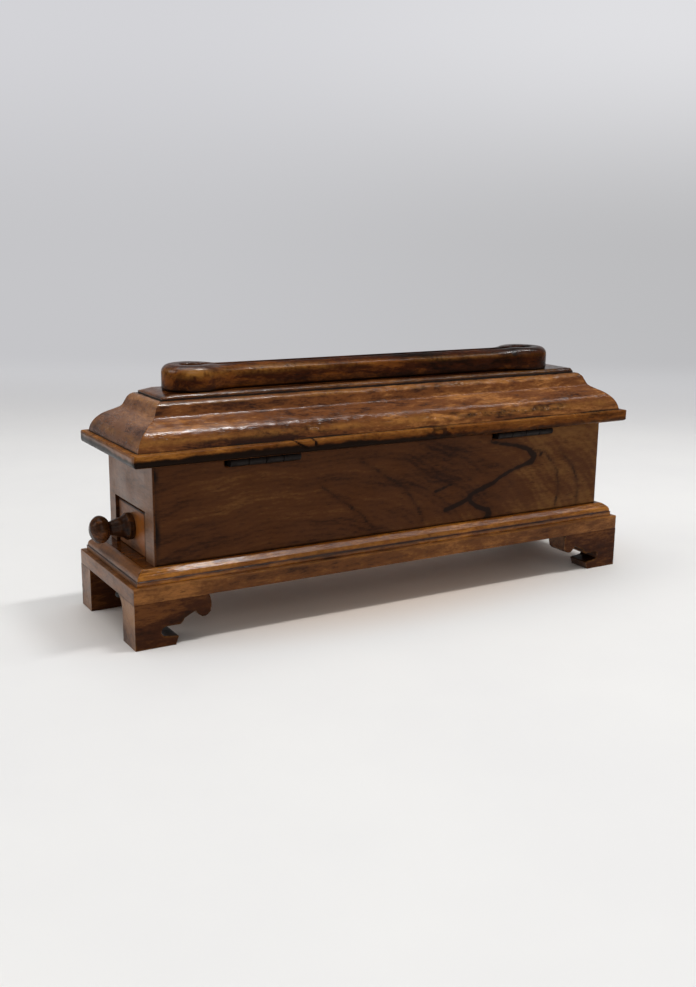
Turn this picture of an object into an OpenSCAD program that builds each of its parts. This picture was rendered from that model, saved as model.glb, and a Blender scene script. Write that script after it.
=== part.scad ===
// Small walnut donation box: a mitred base on four scroll-cut bracket feet, a carcase with an end
// drawer, and a hinged lid whose raised slot collar takes coins and folded notes.
// X runs along the box with the drawer at -X, the hinges are on the -Y side, Z is up.
// The origin is the centre of the base footprint, on the surface that the feet stand on.

/* [Base] */
// Length of the base over its square band
base_l = 300; // [260:1:360]
// Width of the base over its square band
base_w = 80; // [78:0.5:96]
// Height of the square band of the plinth board
band_t = 7.6; // [6:0.2:10]
// How far the base moulding stands back from the band
moulding_setback = 2.6; // [1.5:0.1:3.2]
// Height of the upright fillet under the ovolo
fillet_h = 2.4; // [1.5:0.1:3.5]
// Step in from the fillet to the ovolo
fillet_step = 0.4; // [0.2:0.1:0.8]
// Radius of the ovolo round
ovolo_r = 4.9; // [4:0.1:6]

/* [Feet] */
// Height of the bracket feet
foot_h = 22.6; // [20:0.2:28]
// Length of a bracket foot along the long side, up to the crevice before its scroll
foot_l = 31.4; // [30:0.2:36]
// Depth of the hinge-side foot at the drawer end
foot_depth_drawer_end = 17; // [14:0.5:20]
// Depth of the hinge-side foot at the closed end
foot_depth_closed_end = 14; // [14:0.5:20]
// Depth of the two feet on the front side
foot_depth_front = 14.5; // [12:0.5:20]
// Half of the width of the scroll at the tip of the bracket
scroll_r = 3.8; // [3.2:0.1:4.4]
// Height of the crevice before the scroll, under the top of the foot
crevice_drop = 7; // [6:0.1:8]
// Radius of the round lip over the notch
lip_r = 2.6; // [1.5:0.1:3]
// Radius of the round end of the notch over the toe
notch_r = 2.3; // [1.5:0.1:2.6]
// Distance from the tip of the toe in to the middle of the notch's round end
notch_in = 5; // [3:0.1:8]
// Height of the middle of the notch
notch_z = 7.4; // [6.5:0.1:8]
// Length of the toe under the notch
toe_l = 20.6; // [18:0.2:24]
// Height of the sloping tip of the toe
toe_tip_h = 4.2; // [3:0.1:4.4]
// Forward slope of the tip of the toe
toe_rake = 1.5; // [0:0.1:2.5]
// Radius of the cove inside the hinge-side feet
foot_cove_r = 8; // [4:0.5:10]

/* [Carcase] */
// How far each end of the carcase stands in from the base
carcase_end_in = 12; // [11:0.5:20]
// How far each side of the carcase stands in from the base
carcase_side_in = 8.5; // [8.3:0.1:9.5]
// Height of the carcase walls
wall_h = 49.2; // [44:0.2:60]
// Shift of the carcase towards the closed end
carcase_dx = 1.7; // [0:0.1:2]
// Shift of the carcase towards the front
carcase_dy = -0.45; // [-0.45:0.05:0]
// Thickness of the hinge-side board
hinge_wall_t = 11.5; // [11:0.1:13]
// Thickness of the front board
front_wall_t = 9.3; // [6:0.1:11]
// Thickness of the drawer-end panel
drawer_end_t = 10; // [7:0.5:14]
// Thickness of the closed-end board
closed_end_t = 10; // [7:0.5:14]
// Thickness of the floor between the coin space and the drawer
floor_t = 4; // [3:0.2:6]
// Depth of the grooves that hold that floor
groove_d = 3; // [1.5:0.1:4]

/* [Drawer] */
// Height of the drawer opening
drawer_opening_h = 24.2; // [20:0.2:28]
// Gap between the drawer and the closed end
drawer_back_gap = 8.5; // [2:0.5:40]
// Thickness of the drawer front
drawer_front_t = 8; // [6:0.2:10]
// How far the drawer face lies inside the end of the carcase
drawer_inset = 1.5; // [0.5:0.1:3]
// Clearance at each side of the drawer
drawer_side_gap = 0.8; // [0.3:0.1:1]
// Clearance over the drawer front
drawer_top_gap = 1.8; // [0.8:0.1:3]
// Clearance under the drawer
drawer_under_gap = 0.3; // [0.2:0.1:0.6]
// Thickness of the drawer sides and back
drawer_side_t = 5; // [3.5:0.1:6]
// Thickness of the drawer bottom
drawer_bottom_t = 2.5; // [2:0.1:3.5]
// Depth of the grooves that hold the drawer bottom
drawer_groove_d = 1.5; // [1:0.1:2.5]
// Height of the drawer bottom over the lower edge of the drawer
drawer_bottom_up = 2; // [1.5:0.1:4]
// How much lower than the front the drawer sides are
drawer_side_drop = 2; // [0:0.2:5]

/* [Knob] */
// Diameter of the knob's flattened ball
knob_d = 14; // [11:0.2:17]
// Thickness of the ball along the knob's axis
knob_ball_t = 10.4; // [8:0.2:13]
// Diameter of the neck
knob_neck_d = 9.8; // [7:0.2:11]
// Diameter of the foot flange
knob_flange_d = 13.8; // [11:0.2:16]
// Thickness of the flange at its rim
knob_flange_t = 3.6; // [1.5:0.1:4]
// Distance from the flange to the middle of the ball
knob_neck_l = 12.7; // [10:0.1:15]
// Length of the cove between flange and neck
knob_cove_l = 3.2; // [2:0.1:4]
// Shift of the knob towards the front side
knob_dy = 2.5; // [-3:0.1:3]
// Shift of the knob up from the middle of the drawer front
knob_dz = 0.5; // [-2:0.1:2]
// Diameter of the tenon in the drawer front
knob_tenon_d = 5; // [4:0.1:6]
// Clearance round the tenon
tenon_fit = 0.05; // [0.02:0.01:0.1]

/* [Lid] */
// How far each end of the lid plate reaches past the base
lid_end_over = 0.7; // [-3:0.1:4]
// How far each side of the lid plate reaches past the base
lid_side_over = -0.5; // [-1:0.1:4]
// Thickness of the lid plate
lid_t = 6.6; // [6:0.1:9]
// Shift of the lid towards the closed end
lid_dx = 2.2; // [0:0.1:3]
// Shift of the lid towards the front
lid_dy = -1.4; // [-1.4:0.1:0]
// Gap between the carcase and the closed lid
lid_gap = 0.2; // [0.1:0.05:0.5]
// Round of the plate's upper edge
lid_round_top = 1.6; // [1:0.1:2.5]
// Round of the plate's lower edge
lid_round_under = 3; // [2:0.1:3.4]
// Round of the plate's corners in plan
lid_corner_r = 2.4; // [1:0.1:5]

/* [Lid moulding] */
// How far the moulding stands back from the edge of the plate
cyma_setback = 3.7; // [2.5:0.1:6]
// Radius of the swelling lower round
swell_r = 14; // [12:0.1:16]
// How far the centre of that round lies below the top of the plate
swell_sink = 2; // [1:0.1:3]
// Steepness of the sloping flat, in degrees
slope_a = 28; // [22:1:34]
// Length of the sloping flat
slope_l = 5.2; // [3:0.1:7]
// Radius of the hollow
hollow_r = 4.4; // [3:0.1:6]
// Steepness at the top of the hollow, in degrees
hollow_a = 66; // [50:1:75]
// Length of the steep flat over the hollow
riser_l = 3.2; // [1:0.1:5]
// Radius of the top bead
bead_r = 5; // [3:0.1:6]
// Steepness at the end of the bead, in degrees
bead_a = 20; // [10:1:30]
// Width of the ledge between the bead and the cap board
ledge_w = 1.7; // [0.8:0.1:3]

/* [Cap board] */
// Height of the cap board over the moulding
cap_rise = 2.5; // [1.5:0.1:4]
// Width of the bevel of its edges
cap_bevel = 1.1; // [0.5:0.1:2]
// Height of the bevel of its edges
cap_bevel_h = 1.7; // [0.8:0.1:2.2]
// Width of the worn slope at its drawer end
cap_slope = 7; // [2:0.5:9]
// Height of the worn slope at its drawer end
cap_slope_h = 1.3; // [0.5:0.1:2]

/* [Slot collar] */
// Distance from each end of the cap board in to the middle of a round end of the collar
lobe_in = 24.2; // [20:0.1:40]
// Shift of the collar along the cap board
collar_dx = -2.2; // [-3:0.1:3]
// Height of the collar
collar_h = 12.5; // [9:0.2:16]
// Diameter of the round ends
lobe_d = 29.6; // [22:0.2:31]
// Round of the upper edge of the round ends
lobe_round = 4; // [2:0.1:5]
// Width of the waisted bar between them
bar_w = 16.4; // [15:0.2:20]
// Height of the upright face of the bar
bar_face_h = 8.7; // [4:0.1:9]
// Width of the coin slot
slot_w = 5; // [4.6:0.1:6]
// Diameter of the round dished ends of the slot
bowl_d = 11.4; // [9:0.2:13]
// Depth of the dished ends
bowl_depth = 6; // [3:0.2:9]

/* [Hinges] */
// Length of a hinge
hinge_l = 38; // [30:1:50]
// Distance from each end of the carcase in to the middle of a hinge
hinge_in = 57.5; // [40:0.5:80]
// Radius of the hinge barrel
barrel_r = 2.2; // [1.8:0.1:2.4]
// Radius of the hinge pin
pin_r = 1; // [0.7:0.1:1.2]
// Running clearance round the pin
pin_fit = 0.05; // [0.02:0.01:0.1]
// Thickness of a leaf
leaf_t = 1; // [0.8:0.1:1.2]
// Width of a leaf, from the pin's axis
leaf_w = 11; // [9:0.1:11]
// How far the pin's axis stands off the hinge side
hinge_stand_off = 1.6; // [1:0.1:2.2]
// Gap between neighbouring knuckles
knuckle_gap = 0.25; // [0.15:0.05:0.4]
// Clearance between a leaf and the other leaf's knuckles
knuckle_relief = 0.35; // [0.2:0.05:0.6]
// Clearance round the hinge in its mortise
mortise_fit = 0.35; // [0.2:0.05:0.6]
// Extra length of the mortise at the drawer end
mortise_slip = 1.5; // [0:0.1:3]
// Radius of a screw's head
screw_head_r = 1.7; // [1.4:0.1:2]
// Radius of a screw's shank
screw_r = 0.85; // [0.6:0.05:1]
// Clearance round a screw
screw_fit = 0.1; // [0.05:0.05:0.15]
// Length of a screw
screw_l = 5; // [4:0.2:5.6]
// Distance between the screws of a leaf
screw_spacing = 12.5; // [9:0.5:14]

/* [Hidden] */

$fn = 64;
// Overlap of two forms of one piece, and overshoot of a cut past the face where it starts
eps = 0.01;
over = 1;
// Longer than any piece
far = 1000;

walnut = [0.42, 0.26, 0.14];
walnut_light = [0.52, 0.34, 0.17];
walnut_dark = [0.30, 0.18, 0.10];
walnut_inside = [0.58, 0.42, 0.26];
steel = [0.45, 0.45, 0.46];

// Heights, from the floor up
band_z = foot_h;
band_top = band_z + band_t;
base_top = band_top + fillet_h + ovolo_r;
wall_top = base_top + wall_h;
lid_z = wall_top + lid_gap;
plate_top = lid_z + lid_t;
drawer_top = base_top + drawer_opening_h;

// Carcase faces
carcase_l = base_l - 2 * carcase_end_in;
carcase_w = base_w - 2 * carcase_side_in;
x_drawer_end = carcase_dx - carcase_l / 2;
x_closed_end = carcase_dx + carcase_l / 2;
y_hinge_side = carcase_dy - carcase_w / 2;
y_front_side = carcase_dy + carcase_w / 2;
y_in_hinge = y_hinge_side + hinge_wall_t;
y_in_front = y_front_side - front_wall_t;
inside_w = y_in_front - y_in_hinge;
inside_y = (y_in_front + y_in_hinge) / 2;
x_in_drawer = x_drawer_end + drawer_end_t;
x_in_closed = x_closed_end - closed_end_t;

// Base moulding: the strip's width, and the bottom board inside the mitred frame
strip_w = fillet_step + ovolo_r;
bottom_l = base_l - 2 * (moulding_setback + strip_w);
bottom_w = base_w - 2 * (moulding_setback + strip_w);

// Drawer
drawer_l = carcase_l - closed_end_t - drawer_back_gap - drawer_inset;
drawer_x = x_drawer_end + drawer_inset;
drawer_w = inside_w - 2 * drawer_side_gap;
drawer_z = base_top + drawer_under_gap;
drawer_front_h = drawer_opening_h - drawer_under_gap - drawer_top_gap;
drawer_side_h = drawer_front_h - drawer_side_drop;
drawer_side_l = drawer_l - drawer_front_t - drawer_side_t;
knob_y = inside_y + knob_dy;
knob_z = drawer_z + drawer_front_h / 2 + knob_dz;

// Lid moulding, as distances in from its foot and up from the plate
swell_c = [swell_r, -swell_sink];
swell_a0 = asin(swell_sink / swell_r);
foot_in = swell_r - swell_r * cos(swell_a0);
swell_end = swell_c + swell_r * [-sin(slope_a), cos(slope_a)];
slope_end = swell_end + slope_l * [cos(slope_a), sin(slope_a)];
hollow_c = slope_end + hollow_r * [-sin(slope_a), cos(slope_a)];
hollow_end = hollow_c + hollow_r * [sin(hollow_a), -cos(hollow_a)];
riser_end = hollow_end + riser_l * [cos(hollow_a), sin(hollow_a)];
bead_c = riser_end + bead_r * [sin(hollow_a), -cos(hollow_a)];
bead_end = bead_c + bead_r * [-sin(bead_a), cos(bead_a)];
cyma_w = bead_end[0] + ledge_w - foot_in;
cyma_h = bead_end[1];

// Cap board and collar
lid_l = base_l + 2 * lid_end_over;
lid_w = base_w + 2 * lid_side_over;
cap_in = cyma_setback + cyma_w;
cap_l = lid_l - 2 * cap_in;
cap_w = lid_w - 2 * cap_in;
cap_top = plate_top + cyma_h + cap_rise;
collar_x = lid_dx + collar_dx;
lobe_spacing = cap_l - 2 * lobe_in;
bar_half = bar_w / 2;
crown_h = collar_h - bar_face_h;
crown_r = (bar_half * bar_half + crown_h * crown_h) / (2 * crown_h);

// Hinges
axis_y = y_hinge_side - hinge_stand_off;
axis_z = lid_z - barrel_r;
hinge_x = [x_drawer_end + hinge_in, x_closed_end - hinge_in];
knuckle_count = 4;
knuckle_pitch = hinge_l / knuckle_count;
leaf_screw_y = (leaf_w + barrel_r + knuckle_relief) / 2;

// Points of an arc round centre c, from angle a0 to a1
function arc(c, r, a0, a1, n = 10) =
    [for (i = [0:n]) c + r * [cos(a0 + (a1 - a0) * i / n), sin(a0 + (a1 - a0) * i / n)]];

// Section of the base moulding: x is the distance in from its face, y the height over the band
module ovolo_section() {
    square([strip_w, fillet_h]);
    intersection() {
        translate([fillet_step, 0]) square([ovolo_r, fillet_h + ovolo_r]);
        union() {
            translate([strip_w, fillet_h]) circle(ovolo_r);
            translate([fillet_step, 0]) square([ovolo_r, fillet_h]);
        }
    }
}

// Section of the lid moulding: x is the distance in from its foot, y the height over the plate
module cyma_section() {
    translate([-foot_in, 0]) polygon(concat(
        [[bead_end[0] + ledge_w, cyma_h], [bead_end[0] + ledge_w, 0]],
        arc(swell_c, swell_r, 180 - swell_a0, 90 + slope_a, 14),
        arc(hollow_c, hollow_r, 270 + slope_a, 270 + hollow_a, 8),
        arc(bead_c, bead_r, 90 + hollow_a, 90 + bead_a, 8)
    ));
}

// One side of a mitred frame that is l by w in plan, of a section that is deep wide. The side is
// number 0 at -Y, 1 at +X, 2 at +Y and 3 at -X
module mitred_side(l, w, deep, tall, side) {
    run = (side == 0 || side == 2) ? l : w;
    off = (side == 0 || side == 2) ? w / 2 : l / 2;
    rotate([0, 0, 90 * side]) translate([0, -off, 0]) intersection() {
        translate([-run / 2, 0, 0]) rotate([90, 0, 90]) linear_extrude(run) children();
        linear_extrude(tall) polygon([
            [-run / 2, 0], [run / 2, 0], [run / 2 - deep, deep], [-run / 2 + deep, deep]
        ]);
    }
}

module base_moulding(side) {
    color(walnut_light) translate([0, 0, band_top])
        mitred_side(
            base_l - 2 * moulding_setback, base_w - 2 * moulding_setback, strip_w,
            fillet_h + ovolo_r, side
        ) ovolo_section();
}

module lid_moulding(side) {
    color(walnut_light) translate([lid_dx, lid_dy, plate_top])
        mitred_side(
            lid_l - 2 * cyma_setback, lid_w - 2 * cyma_setback, cyma_w, cyma_h, side
        ) cyma_section();
}

// Outline of a bracket foot seen from the long side: x runs in from the end of the base
module foot_outline() {
    notch_c = [toe_l - notch_in, notch_z];
    lip_c = [toe_l + toe_rake, notch_z + notch_r + lip_r];
    crevice = [foot_l, foot_h - crevice_drop];
    scroll_x = foot_l + scroll_r;
    difference() {
        union() {
            polygon([
                [0, 0], [toe_l, 0], [toe_l + toe_rake, toe_tip_h], notch_c,
                lip_c - [0, lip_r], lip_c + [lip_r, 0], crevice, [scroll_x, crevice[1]],
                [scroll_x, foot_h], [0, foot_h]
            ]);
            translate(lip_c) circle(lip_r);
            scroll_tip(scroll_x, crevice[1]);
        }
        translate(notch_c) circle(notch_r);
        polygon([
            notch_c - [0, notch_r], [toe_l + toe_rake + over, toe_tip_h],
            [toe_l + toe_rake, notch_z + notch_r], notch_c + [0, notch_r]
        ]);
    }
}

// Tall round-ended tip of the bracket, cut off level with the top of the foot
module scroll_tip(x, z) {
    intersection() {
        translate([x - scroll_r, 0]) square([2 * scroll_r, foot_h]);
        union() {
            translate([x, z]) circle(scroll_r);
            translate([x, foot_h - 0.7 * scroll_r]) circle(scroll_r);
            translate([x - scroll_r, z]) square([2 * scroll_r, foot_h - 0.7 * scroll_r - z]);
        }
    }
}

// Section of a foot seen from the end: y runs in from the long side
module foot_section(deep, cove) {
    square([deep, foot_h]);
    if (cove > 0)
        difference() {
            translate([deep - eps, foot_h - cove]) square([cove, cove]);
            translate([deep + cove, foot_h - cove]) circle(cove);
        }
}

module foot(deep, cove, x_side, y_side) {
    foot_reach = foot_l + 2 * scroll_r + over;
    color(walnut_light)
        mirror([x_side > 0 ? 1 : 0, 0, 0]) mirror([0, y_side > 0 ? 1 : 0, 0])
            translate([-base_l / 2, -base_w / 2, 0]) intersection() {
                translate([0, deep + cove, 0]) rotate([90, 0, 0])
                    linear_extrude(deep + cove) foot_outline();
                rotate([90, 0, 90]) linear_extrude(foot_reach) foot_section(deep, cove);
            }
}

module plinth_board() {
    color(walnut_light) translate([-base_l / 2, -base_w / 2, band_z]) cube([base_l, base_w, band_t]);
}

module bottom_board() {
    color(walnut_light) translate([-bottom_l / 2, -bottom_w / 2, band_top])
        cube([bottom_l, bottom_w, base_top - band_top]);
}

// Groove for the compartment floor, cut into both long boards
module floor_groove() {
    translate([x_in_drawer, y_in_hinge - groove_d, drawer_top])
        cube([x_in_closed - x_in_drawer, inside_w + 2 * groove_d, floor_t]);
}

module screw_holes(x, z0, z1) {
    for (i = [-1:1])
        translate([x + i * screw_spacing, axis_y + leaf_screw_y, z0])
            cylinder(h = z1 - z0, r = screw_r + screw_fit);
}

module hinge_side_board() {
    color(walnut) difference() {
        translate([x_drawer_end, y_hinge_side, base_top]) cube([carcase_l, hinge_wall_t, wall_h]);
        floor_groove();
        for (x = hinge_x) {
            translate([
                x - hinge_l / 2 - mortise_fit - mortise_slip, y_hinge_side - over, axis_z - barrel_r
            ]) cube([
                hinge_l + 2 * mortise_fit + mortise_slip,
                axis_y + leaf_w + mortise_fit - y_hinge_side + over, 2 * barrel_r + over
            ]);
            screw_holes(x, axis_z - barrel_r - screw_l, axis_z);
        }
    }
}

module front_board() {
    color(walnut) difference() {
        translate([x_drawer_end, y_in_front, base_top]) cube([carcase_l, front_wall_t, wall_h]);
        floor_groove();
    }
}

module drawer_end_panel() {
    color(walnut) translate([x_drawer_end, y_in_hinge, drawer_top])
        cube([drawer_end_t, inside_w, wall_top - drawer_top]);
}

module closed_end_board() {
    color(walnut) translate([x_in_closed, y_in_hinge, base_top]) cube([closed_end_t, inside_w, wall_h]);
}

module compartment_floor() {
    color(walnut_inside) floor_groove();
}

// Groove for the drawer bottom, cut into the front and the sides
module drawer_bottom_slab() {
    translate([
        drawer_x + drawer_front_t - drawer_groove_d,
        inside_y - drawer_w / 2 + drawer_side_t - drawer_groove_d, drawer_z + drawer_bottom_up
    ]) cube([
        drawer_l - drawer_front_t + drawer_groove_d,
        drawer_w - 2 * (drawer_side_t - drawer_groove_d), drawer_bottom_t
    ]);
}

module drawer_front() {
    color(walnut) difference() {
        translate([drawer_x, inside_y - drawer_w / 2, drawer_z])
            cube([drawer_front_t, drawer_w, drawer_front_h]);
        drawer_bottom_slab();
        translate([drawer_x - over, knob_y, knob_z]) rotate([0, 90, 0])
            cylinder(h = drawer_front_t + 2 * over, r = knob_tenon_d / 2 + tenon_fit);
    }
}

module drawer_side(y) {
    color(walnut_inside) difference() {
        translate([drawer_x + drawer_front_t, y, drawer_z])
            cube([drawer_l - drawer_front_t, drawer_side_t, drawer_side_h]);
        drawer_bottom_slab();
    }
}

module drawer_back() {
    color(walnut_inside)
        translate([
            drawer_x + drawer_l - drawer_side_t, inside_y - drawer_w / 2 + drawer_side_t,
            drawer_z + drawer_bottom_up + drawer_bottom_t
        ]) cube([
            drawer_side_t, drawer_w - 2 * drawer_side_t,
            drawer_side_h - drawer_bottom_up - drawer_bottom_t
        ]);
}

module drawer_bottom() {
    color(walnut_inside) drawer_bottom_slab();
}

// Turned knob: its axis is Z here, from the drawer face up
module knob_turning() {
    ball_z = knob_flange_t + knob_neck_l;
    neck_r = knob_neck_d / 2;
    flange_r = knob_flange_d / 2;
    rim = 0.6;
    tenon_end = 0.5 - drawer_front_t;
    rotate_extrude() polygon(concat(
        [[0, tenon_end], [knob_tenon_d / 2, tenon_end], [knob_tenon_d / 2, 0]],
        [[flange_r - rim, 0], [flange_r, rim], [flange_r, knob_flange_t - rim]],
        [for (t = [0:0.25:1])
            [neck_r + (flange_r - rim - neck_r) * pow(1 - t, 2), knob_flange_t + knob_cove_l * t]],
        [for (a = [-62:8:82]) [knob_d / 2 * cos(a), ball_z + knob_ball_t / 2 * sin(a)]],
        [[0, ball_z + knob_ball_t / 2]]
    ));
}

module drawer_knob() {
    color(walnut_dark) translate([drawer_x, knob_y, knob_z]) rotate([0, -90, 0]) knob_turning();
}

// Section of the lid plate across a run of width w, standing on y = 0
module plate_section(w) {
    intersection() {
        translate([-w / 2, 0]) square([w, lid_t]);
        union() {
            translate([-w / 2, lid_round_under]) square([w, lid_t - lid_round_under - lid_round_top]);
            translate([-w / 2 + lid_round_under, 0]) square([w - 2 * lid_round_under, lid_t / 2]);
            translate([-w / 2 + lid_round_top, lid_t / 2]) square([w - 2 * lid_round_top, lid_t / 2]);
            for (s = [-1, 1]) {
                translate([s * (w / 2 - lid_round_under), lid_round_under]) circle(lid_round_under);
                translate([s * (w / 2 - lid_round_top), lid_t - lid_round_top]) circle(lid_round_top);
            }
        }
    }
}

// A rectangle with round corners, made of true arcs
module round_rect(l, w, r) {
    square([l - 2 * r, w], center = true);
    square([l, w - 2 * r], center = true);
    for (x = [-1, 1], y = [-1, 1]) translate([x * (l / 2 - r), y * (w / 2 - r)]) circle(r);
}

// Slot for coins, from z0 to z1
module coin_slot(z0, z1) {
    translate([collar_x - lobe_spacing / 2, lid_dy - slot_w / 2, z0])
        cube([lobe_spacing, slot_w, z1 - z0]);
}

module lid_plate() {
    color(walnut) difference() {
        translate([lid_dx, lid_dy, lid_z]) intersection() {
            translate([-lid_l / 2, 0, 0]) rotate([90, 0, 90]) linear_extrude(lid_l) plate_section(lid_w);
            translate([0, lid_w / 2, 0]) rotate([90, 0, 0]) linear_extrude(lid_w) plate_section(lid_l);
            linear_extrude(lid_t) round_rect(lid_l, lid_w, lid_corner_r);
        }
        coin_slot(lid_z - over, plate_top + over);
        for (x = hinge_x) screw_holes(x, lid_z - over, lid_z - leaf_t + screw_l);
    }
}

module lid_cap_board() {
    color(walnut) difference() {
        translate([lid_dx, lid_dy, plate_top]) intersection() {
            rotate([90, 0, 90]) linear_extrude(far, center = true)
                cap_section(cap_w, cap_bevel, cap_bevel_h);
            rotate([90, 0, 0]) linear_extrude(far, center = true)
                cap_section(cap_l, cap_slope, cap_slope_h);
        }
        coin_slot(plate_top - over, cap_top + over);
    }
}

// Section of the cap board across a run of width w. The bevel at its far side is the usual one, and
// that at its near side is bw wide and bh high
module cap_section(w, bw, bh) {
    h = cyma_h + cap_rise;
    polygon([
        [-w / 2, 0], [w / 2, 0], [w / 2, h - cap_bevel_h], [w / 2 - cap_bevel, h],
        [-w / 2 + bw, h], [-w / 2, h - bh]
    ]);
}

// Round end of the collar, with a rounded upper edge
module collar_lobe() {
    r = lobe_d / 2;
    rotate_extrude($fn = 96) {
        square([r - lobe_round, collar_h]);
        square([r, collar_h - lobe_round]);
        intersection() {
            translate([r - lobe_round, collar_h - lobe_round]) circle(lobe_round);
            square([r, collar_h]);
        }
    }
}

// Crowned bar between the round ends
module collar_bar() {
    translate([-lobe_spacing / 2, 0, 0]) rotate([90, 0, 90]) linear_extrude(lobe_spacing)
        intersection() {
            translate([-bar_half, 0]) square([bar_w, collar_h]);
            translate([0, collar_h - crown_r]) circle(crown_r, $fn = 128);
        }
}

module slot_collar() {
    color(walnut_dark) difference() {
        translate([collar_x, lid_dy, cap_top]) {
            for (s = [-1, 1]) translate([s * lobe_spacing / 2, 0, 0]) collar_lobe();
            collar_bar();
        }
        coin_slot(cap_top - over, cap_top + collar_h + over);
        for (s = [-1, 1])
            translate([collar_x + s * lobe_spacing / 2, lid_dy, cap_top + collar_h - bowl_depth])
                cylinder(h = bowl_depth + over, d = bowl_d);
    }
}

// One hinge leaf about the pin's axis, with the leaf hanging under the axis. parity picks knuckles
module hinge_leaf(parity) {
    difference() {
        union() {
            translate([-hinge_l / 2, 0, -barrel_r]) cube([hinge_l, leaf_w, leaf_t]);
            for (i = [0:knuckle_count - 1])
                if (i % 2 == parity)
                    translate([-hinge_l / 2 + i * knuckle_pitch, 0, 0]) rotate([0, 90, 0])
                        cylinder(h = knuckle_pitch, r = barrel_r);
        }
        for (i = [0:knuckle_count - 1])
            if (i % 2 != parity) knuckle_gap_cut(i);
        translate([-hinge_l / 2 - over, 0, 0]) rotate([0, 90, 0])
            cylinder(h = hinge_l + 2 * over, r = pin_r + pin_fit);
        for (i = [-1:1]) translate([i * screw_spacing, leaf_screw_y, -barrel_r]) leaf_hole();
    }
}

// Room in one leaf for knuckle i of the other leaf
module knuckle_gap_cut(i) {
    before = i == 0 ? over : knuckle_gap;
    after = i == knuckle_count - 1 ? over : knuckle_gap;
    translate([-hinge_l / 2 + i * knuckle_pitch - before, -barrel_r - over, -barrel_r - over])
        cube([
            knuckle_pitch + before + after, 2 * barrel_r + over + knuckle_relief,
            2 * (barrel_r + over)
        ]);
}

// Countersunk hole through a leaf, wide at its upper face
module leaf_hole() {
    sink = screw_head_r - screw_r;
    translate([0, 0, -over]) cylinder(h = leaf_t + 2 * over, r = screw_r + screw_fit);
    translate([0, 0, leaf_t - sink])
        cylinder(h = sink + eps, r1 = screw_r + screw_fit, r2 = screw_head_r + screw_fit);
}

// Countersunk screw whose head is flush with the upper face of a leaf
module leaf_screw() {
    sink = screw_head_r - screw_r;
    translate([0, 0, leaf_t - screw_l]) cylinder(h = screw_l, r = screw_r);
    translate([0, 0, leaf_t - sink]) cylinder(h = sink, r1 = screw_r, r2 = screw_head_r);
}

module carcase_leaf(i) {
    color(steel) translate([hinge_x[i], axis_y, axis_z]) hinge_leaf(0);
}

module lid_leaf(i) {
    color(steel) translate([hinge_x[i], axis_y, axis_z]) mirror([0, 0, 1]) hinge_leaf(1);
}

module hinge_pin(i) {
    color(steel) translate([hinge_x[i] - hinge_l / 2, axis_y, axis_z]) rotate([0, 90, 0])
        cylinder(h = hinge_l, r = pin_r);
}

module leaf_screws() {
    for (i = [-1:1]) translate([i * screw_spacing, leaf_screw_y, -barrel_r]) leaf_screw();
}

module carcase_leaf_screws() {
    color(steel) for (x = hinge_x) translate([x, axis_y, axis_z]) leaf_screws();
}

module lid_leaf_screws() {
    color(steel) for (x = hinge_x) translate([x, axis_y, axis_z]) mirror([0, 0, 1]) leaf_screws();
}

plinth_board();
base_moulding(0);  // base_moulding_hinge_side
base_moulding(1);  // base_moulding_closed_end
base_moulding(2);  // base_moulding_front
base_moulding(3);  // base_moulding_drawer_end
foot(foot_depth_drawer_end, foot_cove_r, -1, -1);  // foot_hinge_side_drawer_end
foot(foot_depth_closed_end, foot_cove_r, 1, -1);  // foot_hinge_side_closed_end
foot(foot_depth_front, 0, -1, 1);  // foot_front_drawer_end
foot(foot_depth_front, 0, 1, 1);  // foot_front_closed_end
bottom_board();
hinge_side_board();
front_board();
drawer_end_panel();
closed_end_board();
compartment_floor();
drawer_front();
drawer_side(inside_y - drawer_w / 2);  // drawer_side_hinge_side
drawer_side(inside_y + drawer_w / 2 - drawer_side_t);  // drawer_side_front
drawer_back();
drawer_bottom();
drawer_knob();
lid_plate();
lid_moulding(0);  // lid_moulding_hinge_side
lid_moulding(1);  // lid_moulding_closed_end
lid_moulding(2);  // lid_moulding_front
lid_moulding(3);  // lid_moulding_drawer_end
lid_cap_board();
slot_collar();
carcase_leaf(0);  // carcase_leaf_drawer_end
carcase_leaf(1);  // carcase_leaf_closed_end
lid_leaf(0);  // lid_leaf_drawer_end
lid_leaf(1);  // lid_leaf_closed_end
hinge_pin(0);  // hinge_pin_drawer_end
hinge_pin(1);  // hinge_pin_closed_end
carcase_leaf_screws();
lid_leaf_screws();
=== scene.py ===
"""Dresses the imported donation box: walnut finishes, hand-worn forms, hinge steel and a pale studio."""

from __future__ import annotations

import logging
import math
from dataclasses import dataclass
from enum import Enum
from typing import Callable, Iterable, Optional, Sequence

import bmesh
import bpy
from mathutils import Matrix, Vector, noise

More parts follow.
